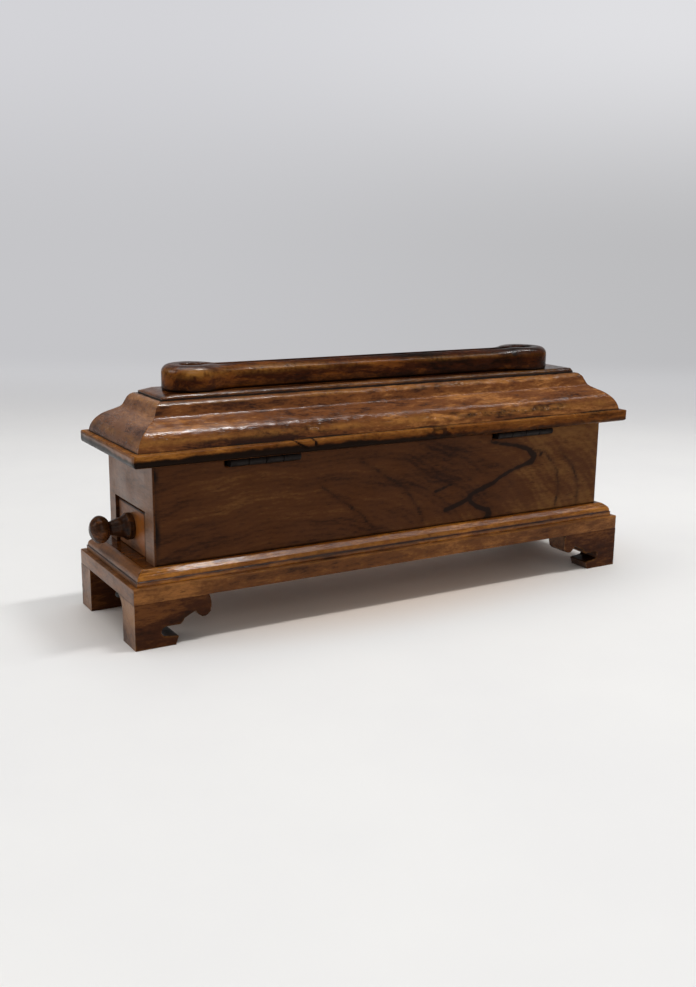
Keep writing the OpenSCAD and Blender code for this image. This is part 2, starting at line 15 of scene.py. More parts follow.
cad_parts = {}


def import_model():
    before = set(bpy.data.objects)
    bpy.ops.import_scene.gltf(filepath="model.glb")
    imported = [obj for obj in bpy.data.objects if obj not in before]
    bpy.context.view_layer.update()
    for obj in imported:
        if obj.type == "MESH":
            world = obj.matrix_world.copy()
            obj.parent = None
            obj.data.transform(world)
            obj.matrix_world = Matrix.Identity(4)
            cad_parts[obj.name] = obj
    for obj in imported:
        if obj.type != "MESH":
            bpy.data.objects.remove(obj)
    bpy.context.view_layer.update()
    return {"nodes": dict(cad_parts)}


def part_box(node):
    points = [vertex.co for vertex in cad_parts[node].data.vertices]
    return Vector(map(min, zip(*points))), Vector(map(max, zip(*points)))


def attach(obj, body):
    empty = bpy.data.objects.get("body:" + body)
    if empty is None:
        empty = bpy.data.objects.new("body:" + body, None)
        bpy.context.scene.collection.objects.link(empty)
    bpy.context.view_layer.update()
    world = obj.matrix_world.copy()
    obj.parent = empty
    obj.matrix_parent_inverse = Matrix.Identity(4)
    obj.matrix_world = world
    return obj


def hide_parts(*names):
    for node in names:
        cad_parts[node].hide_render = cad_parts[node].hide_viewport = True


log = logging.getLogger("donation_box")

MM = 0.001

Colour = tuple[float, float, float]
Nodes = dict[str, bpy.types.Object]
Socket = bpy.types.NodeSocket
Paint = Callable[[Vector, Vector], float]
Move = Callable[[Vector, Vector], Vector]

STILL = Vector((0.0, 0.0, 0.0))


class Grain(Enum):
    """Way in which the grain of a board runs, as the turn that lays it along X."""

    ALONG_X = (0.0, 0.0, 0.0)
    ALONG_Y = (0.0, 0.0, -math.pi / 2)


class Side(Enum):
    """Side of a mitred frame: its node suffix and its quarter turns from the hinge side."""

    HINGE_SIDE = ("hinge_side", 0)
    CLOSED_END = ("closed_end", 1)
    FRONT = ("front", 2)
    DRAWER_END = ("drawer_end", 3)

    @property
    def suffix(self) -> str:
        """Returns the end of the side's node names."""
        return self.value[0]

    @property
    def quarter_turns(self) -> int:
        """Returns how many quarter turns the side lies from the hinge side."""
        return self.value[1]

    @property
    def runs_along_x(self) -> bool:
        """Returns whether the side is a long one."""
        return self.quarter_turns % 2 == 0


# ---- Finishes ----


@dataclass(frozen=True)
class Pattern:
    """A noise pattern: bumps per metre, its make-up, and how short it is drawn along the grain."""

    scale: float
    detail: float = 3.0
    rough: float = 0.5
    warp: float = 0.0
    along: float = 1.0


RING_WARP = Pattern(16.0)
FIBRE = Pattern(1100.0, 2.0, 0.6, along=0.06)
FLECK = Pattern(1300.0, 2.0, 0.6, along=0.4)
PORE = Pattern(1500.0, 1.0, 0.4, along=0.12)
PORE_CROWD = Pattern(160.0, 2.0)
RAGGED = Pattern(330.0, 4.0, 0.65)
VEIN_EDGE = Pattern(190.0, 4.0, 0.6)
BLOTCH = Pattern(90.0, 4.0, 0.65, along=0.4)
WAVE = Pattern(110.0, 3.0, 0.5, 0.4, 0.4)
SMEAR = Pattern(60.0, 4.0, 0.6)
TARNISH = Pattern(240.0, 5.0, 0.65)
SCRATCHES = Pattern(2400.0, 2.0, along=0.05)
PAPER_CLOUD = Pattern(5.0, 4.0, 0.6)
WAVE_HEIGHT = 0.8 * MM
GRIT_HEIGHT = 0.4 * MM


class Graph:
    """A material's node tree, with short calls that add and join nodes."""

    def __init__(self, name: str) -> None:
        """Starts an empty tree.

        Args:
            name: Name of the material.
        """
        self.material = bpy.data.materials.new(name)
        self.material.use_nodes = True
        self.tree = self.material.node_tree
        self.tree.nodes.clear()

    def add(self, kind: str, inputs: Optional[dict] = None, **settings: object) -> bpy.types.Node:
        """Adds a node.

        Args:
            kind: Node type without its ShaderNode prefix.
            inputs: Input name or number to a socket that feeds it, or to a plain value.
            settings: Properties of the node.

        Returns:
            The new node.
        """
        node = self.tree.nodes.new("ShaderNode" + kind)
        for key, value in settings.items():
            setattr(node, key, value)
        for key, value in (inputs or {}).items():
            if isinstance(value, Socket):
                self.tree.links.new(value, node.inputs[key])
            else:
                node.inputs[key].default_value = value
        return node

    def math(self, operation: str, *values: object) -> Socket:
        """Returns the result of a Math node on the given sockets or numbers."""
        return self.add("Math", dict(enumerate(values)), operation=operation).outputs[0]

    def vector_math(self, operation: str, *values: object) -> bpy.types.Node:
        """Returns a Vector Math node fed with the given sockets or vectors."""
        return self.add("VectorMath", dict(enumerate(values)), operation=operation)

    def mix(self, amount: object, first: object, second: object) -> Socket:
        """Returns a colour mixed from two colours.

        Args:
            amount: Share of the second colour.
            first: Socket or RGBA value.
            second: Socket or RGBA value.
        """
        node = self.add("Mix", {0: amount, 6: first, 7: second}, data_type="RGBA")
        return node.outputs[2]

    def band(self, value: object, low: float, high: float) -> Socket:
        """Returns value mapped smoothly from low..high to 0..1."""
        inputs = {0: value, 1: low, 2: high, 3: 0.0, 4: 1.0}
        node = self.add("MapRange", inputs, interpolation_type="SMOOTHSTEP")
        return node.outputs[0]

    def pattern(self, place: Socket, pattern: Pattern) -> Socket:
        """Returns the value of a noise pattern, around 0.5."""
        if pattern.along != 1.0:
            scale = (pattern.along, 1.0, 1.0)
            place = self.add("Mapping", {"Vector": place, "Scale": scale}).outputs[0]
        inputs = {"Vector": place, "Scale": pattern.scale, "Detail": pattern.detail,
                  "Roughness": pattern.rough, "Distortion": pattern.warp}
        return self.add("TexNoise", inputs).outputs[0]

    def attribute(self, name: str) -> Socket:
        """Returns a number painted on the mesh, 0 where the mesh has none."""
        return self.add("Attribute", attribute_name=name).outputs["Fac"]

    def finish(self, shader: bpy.types.Node) -> bpy.types.Material:
        """Joins the shader to the output and returns the material."""
        self.add("OutputMaterial", {"Surface": shader.outputs[0]})
        return self.material


def rgba(colour: Colour) -> tuple[float, float, float, float]:
    """Returns a colour with full alpha."""
    return (*colour, 1.0)


def srgb(red: int, green: int, blue: int) -> Colour:
    """Returns a linear colour from its values on a screen, 0 to 255."""
    def linear(value: int) -> float:
        """Returns the linear share of one value."""
        share = value / 255.0
        return share / 12.92 if share <= 0.04045 else ((share + 0.055) / 1.055) ** 2.4
    return (linear(red), linear(green), linear(blue))


@dataclass(frozen=True)
class WoodFinish:
    """A walnut surface: its colours, figure and polish."""

    name: str
    dark: Colour
    mid: Colour
    light: Colour
    grain: Grain = Grain.ALONG_X
    run: float = 0.16
    streaks: float = 0.55
    streak_scale: float = 150.0
    patches: float = 1.15
    patch_scale: float = 38.0
    mottles: float = 0.60
    mottle_scale: float = 420.0
    specks: float = 0.30
    fibres: float = 0.12
    pores: float = 0.5
    gloss: float = 0.28
    specular: float = 0.3
    gleam: float = 0.0
    waviness: float = 0.22
    fibre_relief: float = 0.28
    rings: float = 0.0
    ring_centre: tuple[float, float, float] = (0.0, 0.0, 0.0)
    ring_squeeze: tuple[float, float, float] = (1.0, 1.0, 1.0)
    ring_pitches: tuple[float, float] = (2300.0, 560.0)
    ring_warp: float = 0.022
    # Golden colour where "worn" is painted: rubbed wood, and a painted highlight on some pieces.
    glow: Colour = (0.30, 0.128, 0.026)
    # Dark colour of pores and veins, and of painted shade and stain where "crevice" is painted.
    soot: Colour = (0.010, 0.005, 0.003)
    veined: bool = False

    def coordinates(self, graph: Graph) -> Socket:
        """Returns the pattern coordinates in metres, with the grain along X."""
        place = graph.add("TexCoord").outputs["Object"]
        return graph.add("Mapping", {"Vector": place, "Rotation": self.grain.value}).outputs[0]

    def ring_tone(self, graph: Graph, place: Socket) -> Socket:
        """Returns the tone of growth rings round the ring centre, about 0."""
        from_centre = graph.vector_math("SUBTRACT", place, self.ring_centre).outputs[0]
        squeezed = graph.vector_math("MULTIPLY", from_centre, self.ring_squeeze).outputs[0]
        reach = graph.vector_math("LENGTH", squeezed).outputs["Value"]
        warp = graph.math("MULTIPLY", graph.pattern(place, RING_WARP), self.ring_warp)
        bent = graph.math("ADD", reach, warp)
        fine, broad = (graph.math("SINE", graph.math("MULTIPLY", bent, pitch))
                       for pitch in self.ring_pitches)
        both = graph.math("MULTIPLY_ADD", fine, 0.4, graph.math("MULTIPLY", broad, 0.6))
        return graph.math("MULTIPLY", graph.band(both, -1.0, 1.1), -self.rings)

    def tone(self, graph: Graph, place: Socket) -> tuple[Socket, ...]:
        """Returns the tone of the wood, about 0.5, and its fine fibre and mottle.

        Args:
            graph: Tree of the material.
            place: Pattern coordinates.
        """
        streak = graph.pattern(place, Pattern(self.streak_scale, 5.0, 0.62, 0.7, self.run))
        patch = graph.pattern(place, Pattern(self.patch_scale, 4.0, 0.55, 0.8, 0.3))
        mottle = graph.pattern(place, Pattern(self.mottle_scale, 4.0, 0.6, 0.4, 0.3))
        fibre = graph.pattern(place, FIBRE)
        fleck = graph.pattern(place, FLECK)
        total = graph.math("ADD", 0.5, graph.attribute("tone"))
        for part, gain in ((streak, self.streaks), (patch, self.patches), (mottle, self.mottles),
                           (fleck, self.specks), (fibre, self.fibres)):
            total = graph.math("ADD", total, graph.math("MULTIPLY_ADD", part, gain, -0.5 * gain))
        if self.rings > 0.0:
            total = graph.math("ADD", total, self.ring_tone(graph, place))
        return total, fibre, mottle

    def veins(self, graph: Graph, place: Socket, colour: Socket) -> Socket:
        """Returns the colour with the painted veins laid over it, each in a soft dark halo."""
        edge = graph.math("MULTIPLY_ADD", graph.pattern(place, VEIN_EDGE), 1.8, -0.9)
        reach = graph.math("ADD", graph.attribute("vein"), edge)
        for low, high, strength, stain in ((-0.7, 0.1, 0.95, self.soot), (-2.6, 0.6, 0.35, self.dark)):
            share = graph.math("MULTIPLY", graph.band(reach, low, high), strength)
            colour = graph.mix(share, colour, rgba(stain))
        return colour

    @staticmethod
    def rubbed(graph: Graph, place: Socket, ragged: Socket) -> Socket:
        """Returns where "worn" lays the glow colour, in ragged blotches: wear, and painted highlights."""
        blotch = graph.band(graph.pattern(place, BLOTCH), 0.38, 0.60)
        worn = graph.math("MULTIPLY", graph.attribute("worn"), graph.band(ragged, 0.22, 0.66))
        return graph.math("MULTIPLY", worn, graph.math("MULTIPLY_ADD", blotch, 0.75, 0.25))

    @staticmethod
    def grime(graph: Graph, ragged: Socket) -> Socket:
        """Returns where "crevice" lays the dark colour, with a ragged edge: painted shade, and stain in
        places.
        """
        crevice = graph.attribute("crevice")
        edge = graph.math("ADD", crevice, graph.math("MULTIPLY_ADD", ragged, 0.5, -0.25))
        return graph.math("MULTIPLY", graph.band(edge, 0.12, 0.75), graph.band(crevice, 0.0, 0.25))

    def relief(self, graph: Graph, place: Socket, grit: Socket) -> Socket:
        """Returns the normal of the polish: long waves, with fine grit on them."""
        wave = graph.pattern(place, WAVE)
        swell = graph.add("Bump", {"Strength": self.waviness, "Distance": WAVE_HEIGHT, "Height": wave})
        rub = graph.add("Bump", {"Strength": self.fibre_relief, "Distance": GRIT_HEIGHT, "Height": grit,
                                 "Normal": swell.outputs[0]})
        return rub.outputs[0]

    def build(self) -> bpy.types.Material:
        """Returns the finish as a material."""
        graph = Graph(self.name)
        place = self.coordinates(graph)
        tone, fibre, mottle = self.tone(graph, place)
        lower = graph.mix(graph.band(tone, 0.22, 0.50), rgba(self.dark), rgba(self.mid))
        colour = graph.mix(graph.band(tone, 0.48, 0.80), lower, rgba(self.light))
        pore = graph.band(graph.pattern(place, PORE), 0.60, 0.70)
        crowd = graph.band(graph.pattern(place, PORE_CROWD), 0.42, 0.66)
        pore = graph.math("MULTIPLY", graph.math("MULTIPLY", pore, crowd), self.pores)
        colour = graph.mix(pore, colour, rgba(self.soot))
        if self.veined:
            colour = self.veins(graph, place, colour)
        ragged = graph.pattern(place, RAGGED)
        # The "worn" number lays the golden glow colour: rubbed wood, and painted highlights where pieces
        # paint them.
        colour = graph.mix(self.rubbed(graph, place, ragged), colour, rgba(self.glow))
        # The "crevice" number lays the dark colour: painted shade in hollows, gaps and under parts, and
        # stain in places.
        grime = self.grime(graph, ragged)
        colour = graph.mix(grime, colour, rgba(self.soot))
        smear = {0: graph.pattern(place, SMEAR), 1: 0.3, 2: 0.7,
                 3: self.gloss * 0.75, 4: self.gloss * 1.35}
        rough = graph.math("MULTIPLY_ADD", grime, 0.15, graph.add("MapRange", smear).outputs[0])
        grit = graph.math("ADD", graph.math("MULTIPLY", fibre, 0.4), mottle)
        grit = graph.math("ADD", grit, graph.math("MULTIPLY", pore, -0.8))
        shine: object = self.specular
        if self.gleam > 0.0:
            shine = graph.math("MULTIPLY_ADD", graph.attribute("gleam"), self.gleam, self.specular)
        shader = graph.add("BsdfPrincipled", {
            "Base Color": colour, "Roughness": rough, "Normal": self.relief(graph, place, grit),
            "Specular IOR Level": shine,
        })
        return graph.finish(shader)


@dataclass(frozen=True)
class SteelFinish:
    """Old hinge steel: grey, with brown tarnish in patches."""

    name: str
    bare: Colour = (0.014, 0.011, 0.010)
    tarnish: Colour = (0.009, 0.006, 0.005)
    metallic: float = 0.3
    specular: float = 0.12
    scratch_depth: float = 0.0002

    def build(self) -> bpy.types.Material:
        """Returns the finish as a material."""
        graph = Graph(self.name)
        place = graph.add("TexCoord").outputs["Object"]
        spots = graph.band(graph.pattern(place, TARNISH), 0.42, 0.68)
        colour = graph.mix(spots, rgba(self.bare), rgba(self.tarnish))
        rough = graph.math("MULTIPLY_ADD", spots, 0.3, 0.4)
        scratches = graph.pattern(place, SCRATCHES)
        relief = graph.add("Bump", {"Strength": 0.12, "Distance": self.scratch_depth, "Height": scratches})
        shader = graph.add("BsdfPrincipled", {
            "Base Color": colour, "Roughness": rough, "Metallic": self.metallic,
            "Normal": relief.outputs[0], "Specular IOR Level": self.specular,
        })
        return graph.finish(shader)


FINISHES: dict[str, bpy.types.Material] = {}


def dressed(finish: WoodFinish | SteelFinish) -> bpy.types.Material:
    """Returns the finish's material, built the first time that it is asked for."""
    if finish.name not in FINISHES:
        FINISHES[finish.name] = finish.build()
    return FINISHES[finish.name]


# ---- Forms ----

WELD_REACH = 2e-6
CUT_REACH = 1e-6
FLAT_ANGLE = math.radians(0.3)
SHARP_ANGLE = math.radians(30.0)
SOFT_ANGLE = math.radians(40.0)
END_FACING = 0.75
FACING = 0.9


def grain_noise(place: Vector, scale: float, seed: float = 0.0) -> float:
    """Returns smooth noise from -1 to 1.

    Args:
        place: Point in metres.
        scale: Bumps per metre.
        seed: Shift that gives another pattern.
    """
    return noise.noise(place * scale + Vector((seed, seed * 1.7, seed * 2.3)))


def ramp(value: float, low: float, high: float) -> float:
    """Returns value mapped smoothly from low..high to 0..1."""
    share = min(max((value - low) / (high - low), 0.0), 1.0)
    return share * share * (3.0 - 2.0 * share)


def bump(value: float, centre: float, half: float) -> float:
    """Returns 1 at the centre, falling smoothly to 0 at a distance half from it."""
    return 1.0 - ramp(abs(value - centre), 0.0, half)


def spot(across: float, up: float, half: float) -> float:
    """Returns 1 at a spot's middle, falling smoothly to 0 at a distance half from it."""
    return bump(math.hypot(across, up), 0.0, half)


class Piece:
    """A form that bmesh operators shape, and that is painted and put into the scene."""

    def __init__(self, name: str) -> None:
        """Starts an empty form.

        Args:
            name: Name of the object that it becomes.
        """
        self.name = name
        self.bm = bmesh.new()

    @classmethod
    def copied(cls, name: str, node: bpy.types.Object, flat: bool = True) -> "Piece":
        """Starts from a copy of a node's mesh.

        Args:
            name: Name of the new piece.
            node: Object of the node.
            flat: Whether flat faces lose their triangles.

        Returns:
            The new form.
        """
        piece = cls(name)
        piece.bm.from_mesh(node.data)
        bmesh.ops.remove_doubles(piece.bm, verts=piece.bm.verts, dist=WELD_REACH)
        if flat:
            bmesh.ops.dissolve_limit(piece.bm, angle_limit=FLAT_ANGLE, verts=piece.bm.verts,
                                     edges=piece.bm.edges)
        return piece

    def cut(self, axis: int, places: Iterable[float], faces: Optional[Callable] = None) -> "Piece":
        """Cuts the faces along planes across an axis.

        Args:
            axis: 0, 1 or 2 for X, Y or Z.
            places: Where the planes cross the axis, in metres.
            faces: Test that picks the faces to cut, or None for all.

        Returns:
            This piece.
        """
        across = STILL.copy()
        across[axis] = 1.0
        picked = [f for f in self.bm.faces if faces is None or faces(f)]
        edges = list({e for f in picked for e in f.edges})
        verts = list({v for f in picked for v in f.verts})
        geometry = verts + edges + picked
        for place in places:
            cut = bmesh.ops.bisect_plane(self.bm, geom=geometry, dist=CUT_REACH, plane_co=across * place,
                                         plane_no=across)
            geometry = cut["geom"]
        return self

    def remesh(self, voxel: float, smooth: int = 1) -> "Piece":
        """Covers the form with an even net of small faces, which rounds its arrises.

        Args:
            voxel: Size of the net, in metres.
            smooth: Number of times that the net is relaxed.

        Returns:
            This piece.
        """
        mesh = bpy.data.meshes.new(self.name + "_rough")
        self.bm.to_mesh(mesh)
        rough = bpy.data.objects.new(self.name + "_rough", mesh)
        bpy.context.scene.collection.objects.link(rough)
        net = rough.modifiers.new("net", "REMESH")
        net.mode = "VOXEL"
        net.voxel_size = voxel
        evaluated = rough.evaluated_get(bpy.context.evaluated_depsgraph_get())
        self.bm.clear()
        self.bm.from_mesh(evaluated.to_mesh())
        evaluated.to_mesh_clear()
        bpy.data.objects.remove(rough)
        bpy.data.meshes.remove(mesh)
        return self.relax(self.bm.verts, smooth)

    def relax(self, verts: Sequence[bmesh.types.BMVert], times: int) -> "Piece":
        """Draws corners towards the middle of their neighbours, a number of times."""
        for _ in range(times):
            bmesh.ops.smooth_vert(self.bm, verts=verts, factor=0.5, use_axis_x=True, use_axis_y=True,
                                  use_axis_z=True)
        return self

    def push(self, move: Move) -> "Piece":
        """Moves each corner.

        Args:
            move: Gives the move from a corner's place and normal.

        Returns:
            This piece.
        """
        self.bm.normal_update()
        moves = [move(v.co, v.normal) for v in self.bm.verts]
        for vert, step in zip(self.bm.verts, moves):
            vert.co += step
        return self

    def layer(self, name: str) -> bmesh.types.BMLayerItem:
        """Returns the layer of a painted number, which is added if the form has none."""
        layers = self.bm.verts.layers.float
        return layers.get(name) or layers.new(name)

    def paint(self, name: str, value: Paint) -> "Piece":
        """Paints a number on each corner.

        Args:
            name: Name of the attribute.
            value: Gives the number from a corner's place and normal.

        Returns:
            This piece.
        """
        self.bm.normal_update()
        layer = self.layer(name)
        for vert in self.bm.verts:
            vert[layer] = value(vert.co, vert.normal)
        return self

    def paint_form(self, worn_gain: float, crevice_gain: float, spread: int = 2) -> "Piece":
        """Paints how far each corner stands out as "worn", and how far it lies in as "crevice", a painted
        shade.

        Args:
            worn_gain: Strength of "worn".
            crevice_gain: Strength of "crevice".
            spread: Number of times that each number is shared with its neighbours.

        Returns:
            This piece.
        """
        self.bm.normal_update()
        self.bm.verts.index_update()
        bend = [
            sum(e.calc_face_angle_signed(0.0) for e in v.link_edges if len(e.link_faces) == 2)
            / max(len(v.link_edges), 1)
            for v in self.bm.verts
        ]
        for _ in range(spread):
            bend = [
                0.5 * bend[v.index] + 0.5 * sum(bend[e.other_vert(v).index] for e in v.link_edges)
                / max(len(v.link_edges), 1)
                for v in self.bm.verts
            ]
        worn, crevice = self.layer("worn"), self.layer("crevice")
        for vert in self.bm.verts:
            vert[worn] = min(max(bend[vert.index] * worn_gain, 0.0), 1.0)
            vert[crevice] = min(max(-bend[vert.index] * crevice_gain, 0.0), 1.0)
        return self

    def round_edges(self, width: float, pick: Callable[[Vector, Vector], bool]) -> "Piece":
        """Rounds the sharp edges that a test picks.

        Args:
            width: Width of the rounding, in metres.
            pick: Test on an edge's middle and direction.

        Returns:
            This piece.
        """
        edges = []
        for edge in self.bm.edges:
            if len(edge.link_faces) != 2 or edge.calc_face_angle(0.0) < SHARP_ANGLE:
                continue
            start, end = (v.co for v in edge.verts)
            if pick((start + end) / 2, (end - start).normalized()):
                edges.append(edge)
        bmesh.ops.bevel(self.bm, geom=edges, offset=width, segments=3, profile=0.5, affect="EDGES",
                        material=-1, clamp_overlap=True)
        return self

    def place(self, finish: WoodFinish | SteelFinish, body: str, slot: str, nodes: Sequence[str],
              bevel: float = 0.0, smooth_angle: float = 40.0, ends: Optional[WoodFinish] = None,
              ) -> bpy.types.Object:
        """Puts the form into the scene.

        Args:
            finish: Finish that it wears.
            body: Body that it rides on.
            slot: Material slot of the record; not used.
            nodes: Nodes that it stands for.
            bevel: Width of the softened arrises in metres, or 0 for none.
            smooth_angle: Largest angle, in degrees, that is shaded as a curve.
            ends: Finish of the faces that look along X, or None for the same finish.

        Returns:
            The new object.
        """
        self.bm.normal_update()
        for face in self.bm.faces:
            face.material_index = 1 if ends is not None and abs(face.normal.x) > END_FACING else 0
        mesh = bpy.data.meshes.new(self.name)
        self.bm.to_mesh(mesh)
        self.bm.free()
        for worn in (finish, ends):
            if worn is not None:
                mesh.materials.append(dressed(worn))
        mesh.shade_smooth()
        mesh.set_sharp_from_angle(angle=math.radians(smooth_angle))
        piece = bpy.data.objects.new(self.name, mesh)
        bpy.context.scene.collection.objects.link(piece)
        if bevel > 0.0:
            soften(piece, bevel)
        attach(piece, body)
        if nodes:
            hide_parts(*nodes)
        log.info("%s: %d faces on %s", self.name, len(mesh.polygons), body)
        return piece


def soften(piece: bpy.types.Object, width: float) -> None:
    """Gives a piece arrises rounded to a width in metres."""
    bevel = piece.modifiers.new("arris", "BEVEL")
    bevel.width = width
    bevel.segments = 2
    bevel.limit_method = "ANGLE"
    bevel.angle_limit = SOFT_ANGLE
    bevel.harden_normals = True


def steps(low: float, high: float, step: float) -> list[float]:
    """Returns evenly spread places between low and high, at most a step apart."""
    count = max(int(math.ceil((high - low) / step)), 1)
    return [low + (high - low) * i / count for i in range(1, count)]


LID_WALNUT = WoodFinish(
    "walnut_lid", srgb(46, 20, 8), srgb(107, 61, 27), srgb(172, 114, 59), gloss=0.14, specular=0.27)
LID_END_WALNUT = WoodFinish(
    "walnut_lid_end", srgb(60, 31, 17), srgb(108, 67, 39), srgb(152, 103, 62), grain=Grain.ALONG_Y,
    gloss=0.26, specular=0.5)
PLATE_WALNUT = WoodFinish(
    "walnut_lid_plate", srgb(44, 20, 9), srgb(100, 56, 22), srgb(160, 102, 44), gloss=0.25, specular=0.03,
    patch_scale=60.0, patches=1.1)
PLATE_END_WALNUT = WoodFinish(
    "walnut_lid_plate_end", srgb(58, 30, 14), srgb(112, 66, 28), srgb(160, 104, 48), grain=Grain.ALONG_Y,
    gloss=0.3, specular=0.5)
COLLAR_WALNUT = WoodFinish(
    "walnut_collar", srgb(22, 8, 2), srgb(58, 25, 7), srgb(116, 64, 22), gloss=0.15, specular=0.04,
    gleam=0.5, patches=1.3, patch_scale=50.0)
SIDE_WALNUT = WoodFinish(
    "walnut_side_board", srgb(38, 17, 7), srgb(80, 45, 20), srgb(120, 80, 40), gloss=0.45, specular=0.08,
    rings=0.11, ring_centre=(-0.075, 0.0, 0.012), ring_squeeze=(0.45, 0.0, 1.0), veined=True,
    waviness=0.08, fibre_relief=0.1, streaks=0.28, run=0.08, patches=0.6, patch_scale=26.0, mottles=0.2,
    specks=0.2)
CARCASE_WALNUT = WoodFinish(
    "walnut_carcase", srgb(40, 19, 8), srgb(81, 45, 20), srgb(114, 71, 36), gloss=0.42, specular=0.1)
END_WALNUT = WoodFinish(
    "walnut_end_board", srgb(64, 38, 22), srgb(108, 72, 46), srgb(138, 96, 64), grain=Grain.ALONG_Y,
    gloss=0.36, specular=0.45, patches=0.4, streaks=0.35)
BASE_WALNUT = WoodFinish(
    "walnut_base", srgb(50, 22, 7), srgb(112, 63, 22), srgb(176, 114, 46), gloss=0.16, specular=0.24)
BASE_END_WALNUT = WoodFinish(
    "walnut_base_end", srgb(66, 38, 20), srgb(114, 74, 44), srgb(156, 108, 66), grain=Grain.ALONG_Y,
    gloss=0.34, specular=0.42, patches=0.8, glow=(0.22, 0.078, 0.016))
BAND_WALNUT = WoodFinish(
    "walnut_band", srgb(52, 27, 12), srgb(98, 58, 26), srgb(148, 96, 48), gloss=0.34, specular=0.12,
    patches=0.9)
FOOT_WALNUT = WoodFinish(
    "walnut_foot", srgb(30, 12, 4), srgb(58, 28, 11), srgb(100, 59, 27), gloss=0.38, specular=0.08,
    patches=0.9)
FOOT_END_WALNUT = WoodFinish(
    "walnut_foot_end", srgb(66, 38, 22), srgb(112, 74, 45), srgb(144, 102, 65), gloss=0.38, specular=0.5)
DRAWER_WALNUT = WoodFinish(
    "walnut_drawer_front", srgb(76, 46, 29), srgb(124, 82, 52), srgb(158, 106, 64), grain=Grain.ALONG_Y,
    gloss=0.36, specular=0.2, glow=(0.25, 0.078, 0.012))
INSIDE_WALNUT = WoodFinish(
    "walnut_inside", srgb(84, 56, 34), srgb(124, 88, 56), srgb(156, 116, 78), gloss=0.6, specular=0.2)
KNOB_WALNUT = WoodFinish(
    "walnut_knob", srgb(22, 10, 5), srgb(50, 27, 14), srgb(104, 60, 30), gloss=0.24, specular=0.12,
    patch_scale=90.0, patches=1.0)
HINGE_STEEL = SteelFinish("old_steel")


# ---- Sub-assemblies ----


@dataclass(frozen=True)
class Section:
    """Places on the section of a mitred strip: how far in from its outer foot, and how far up."""

    lo: Vector
    hi: Vector
    side: Side

    def at(self, place: Vector) -> tuple[float, float]:
        """Returns a corner's place on the section, in millimetres."""
        axis = 1 if self.side.runs_along_x else 0
        if self.side in (Side.HINGE_SIDE, Side.DRAWER_END):
            inward = place[axis] - self.lo[axis]
        else:
            inward = self.hi[axis] - place[axis]
        return inward / MM, (place.z - self.lo.z) / MM


@dataclass
class Assembly:
    """A sub-assembly that is made from the nodes of the frame.

    Steps, nets and roundings are in metres. Places on a section, on a face or along the box are in
    millimetres.
    """

    nodes: Nodes

    def start(self, node: str, ending: str, flat: bool = True) -> tuple[Vector, Vector, Piece]:
        """Starts a piece from a copy of a node.

        Args:
            node: Name of the node.
            ending: Word that follows it in the name of the piece.
            flat: Whether flat faces lose their triangles.

        Returns:
            The low and the high corner of the node's box, and the piece.
        """
        return *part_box(node), Piece.copied(f"{node}_{ending}", self.nodes[node], flat)

    def start_strip(self, node: str, side: Side, step: float) -> tuple[Piece, Section]:
        """Starts a mitred strip, cut across its length.

        Args:
            node: Name of the strip's node.
            side: Side of the frame that it lies on.
            step: Largest gap between two cuts.

        Returns:
            The piece and its section.
        """
        lo, hi, piece = self.start(node, "worn")
        axis = 0 if side.runs_along_x else 1
        return piece.cut(axis, steps(lo[axis], hi[axis], step)), Section(lo, hi, side)


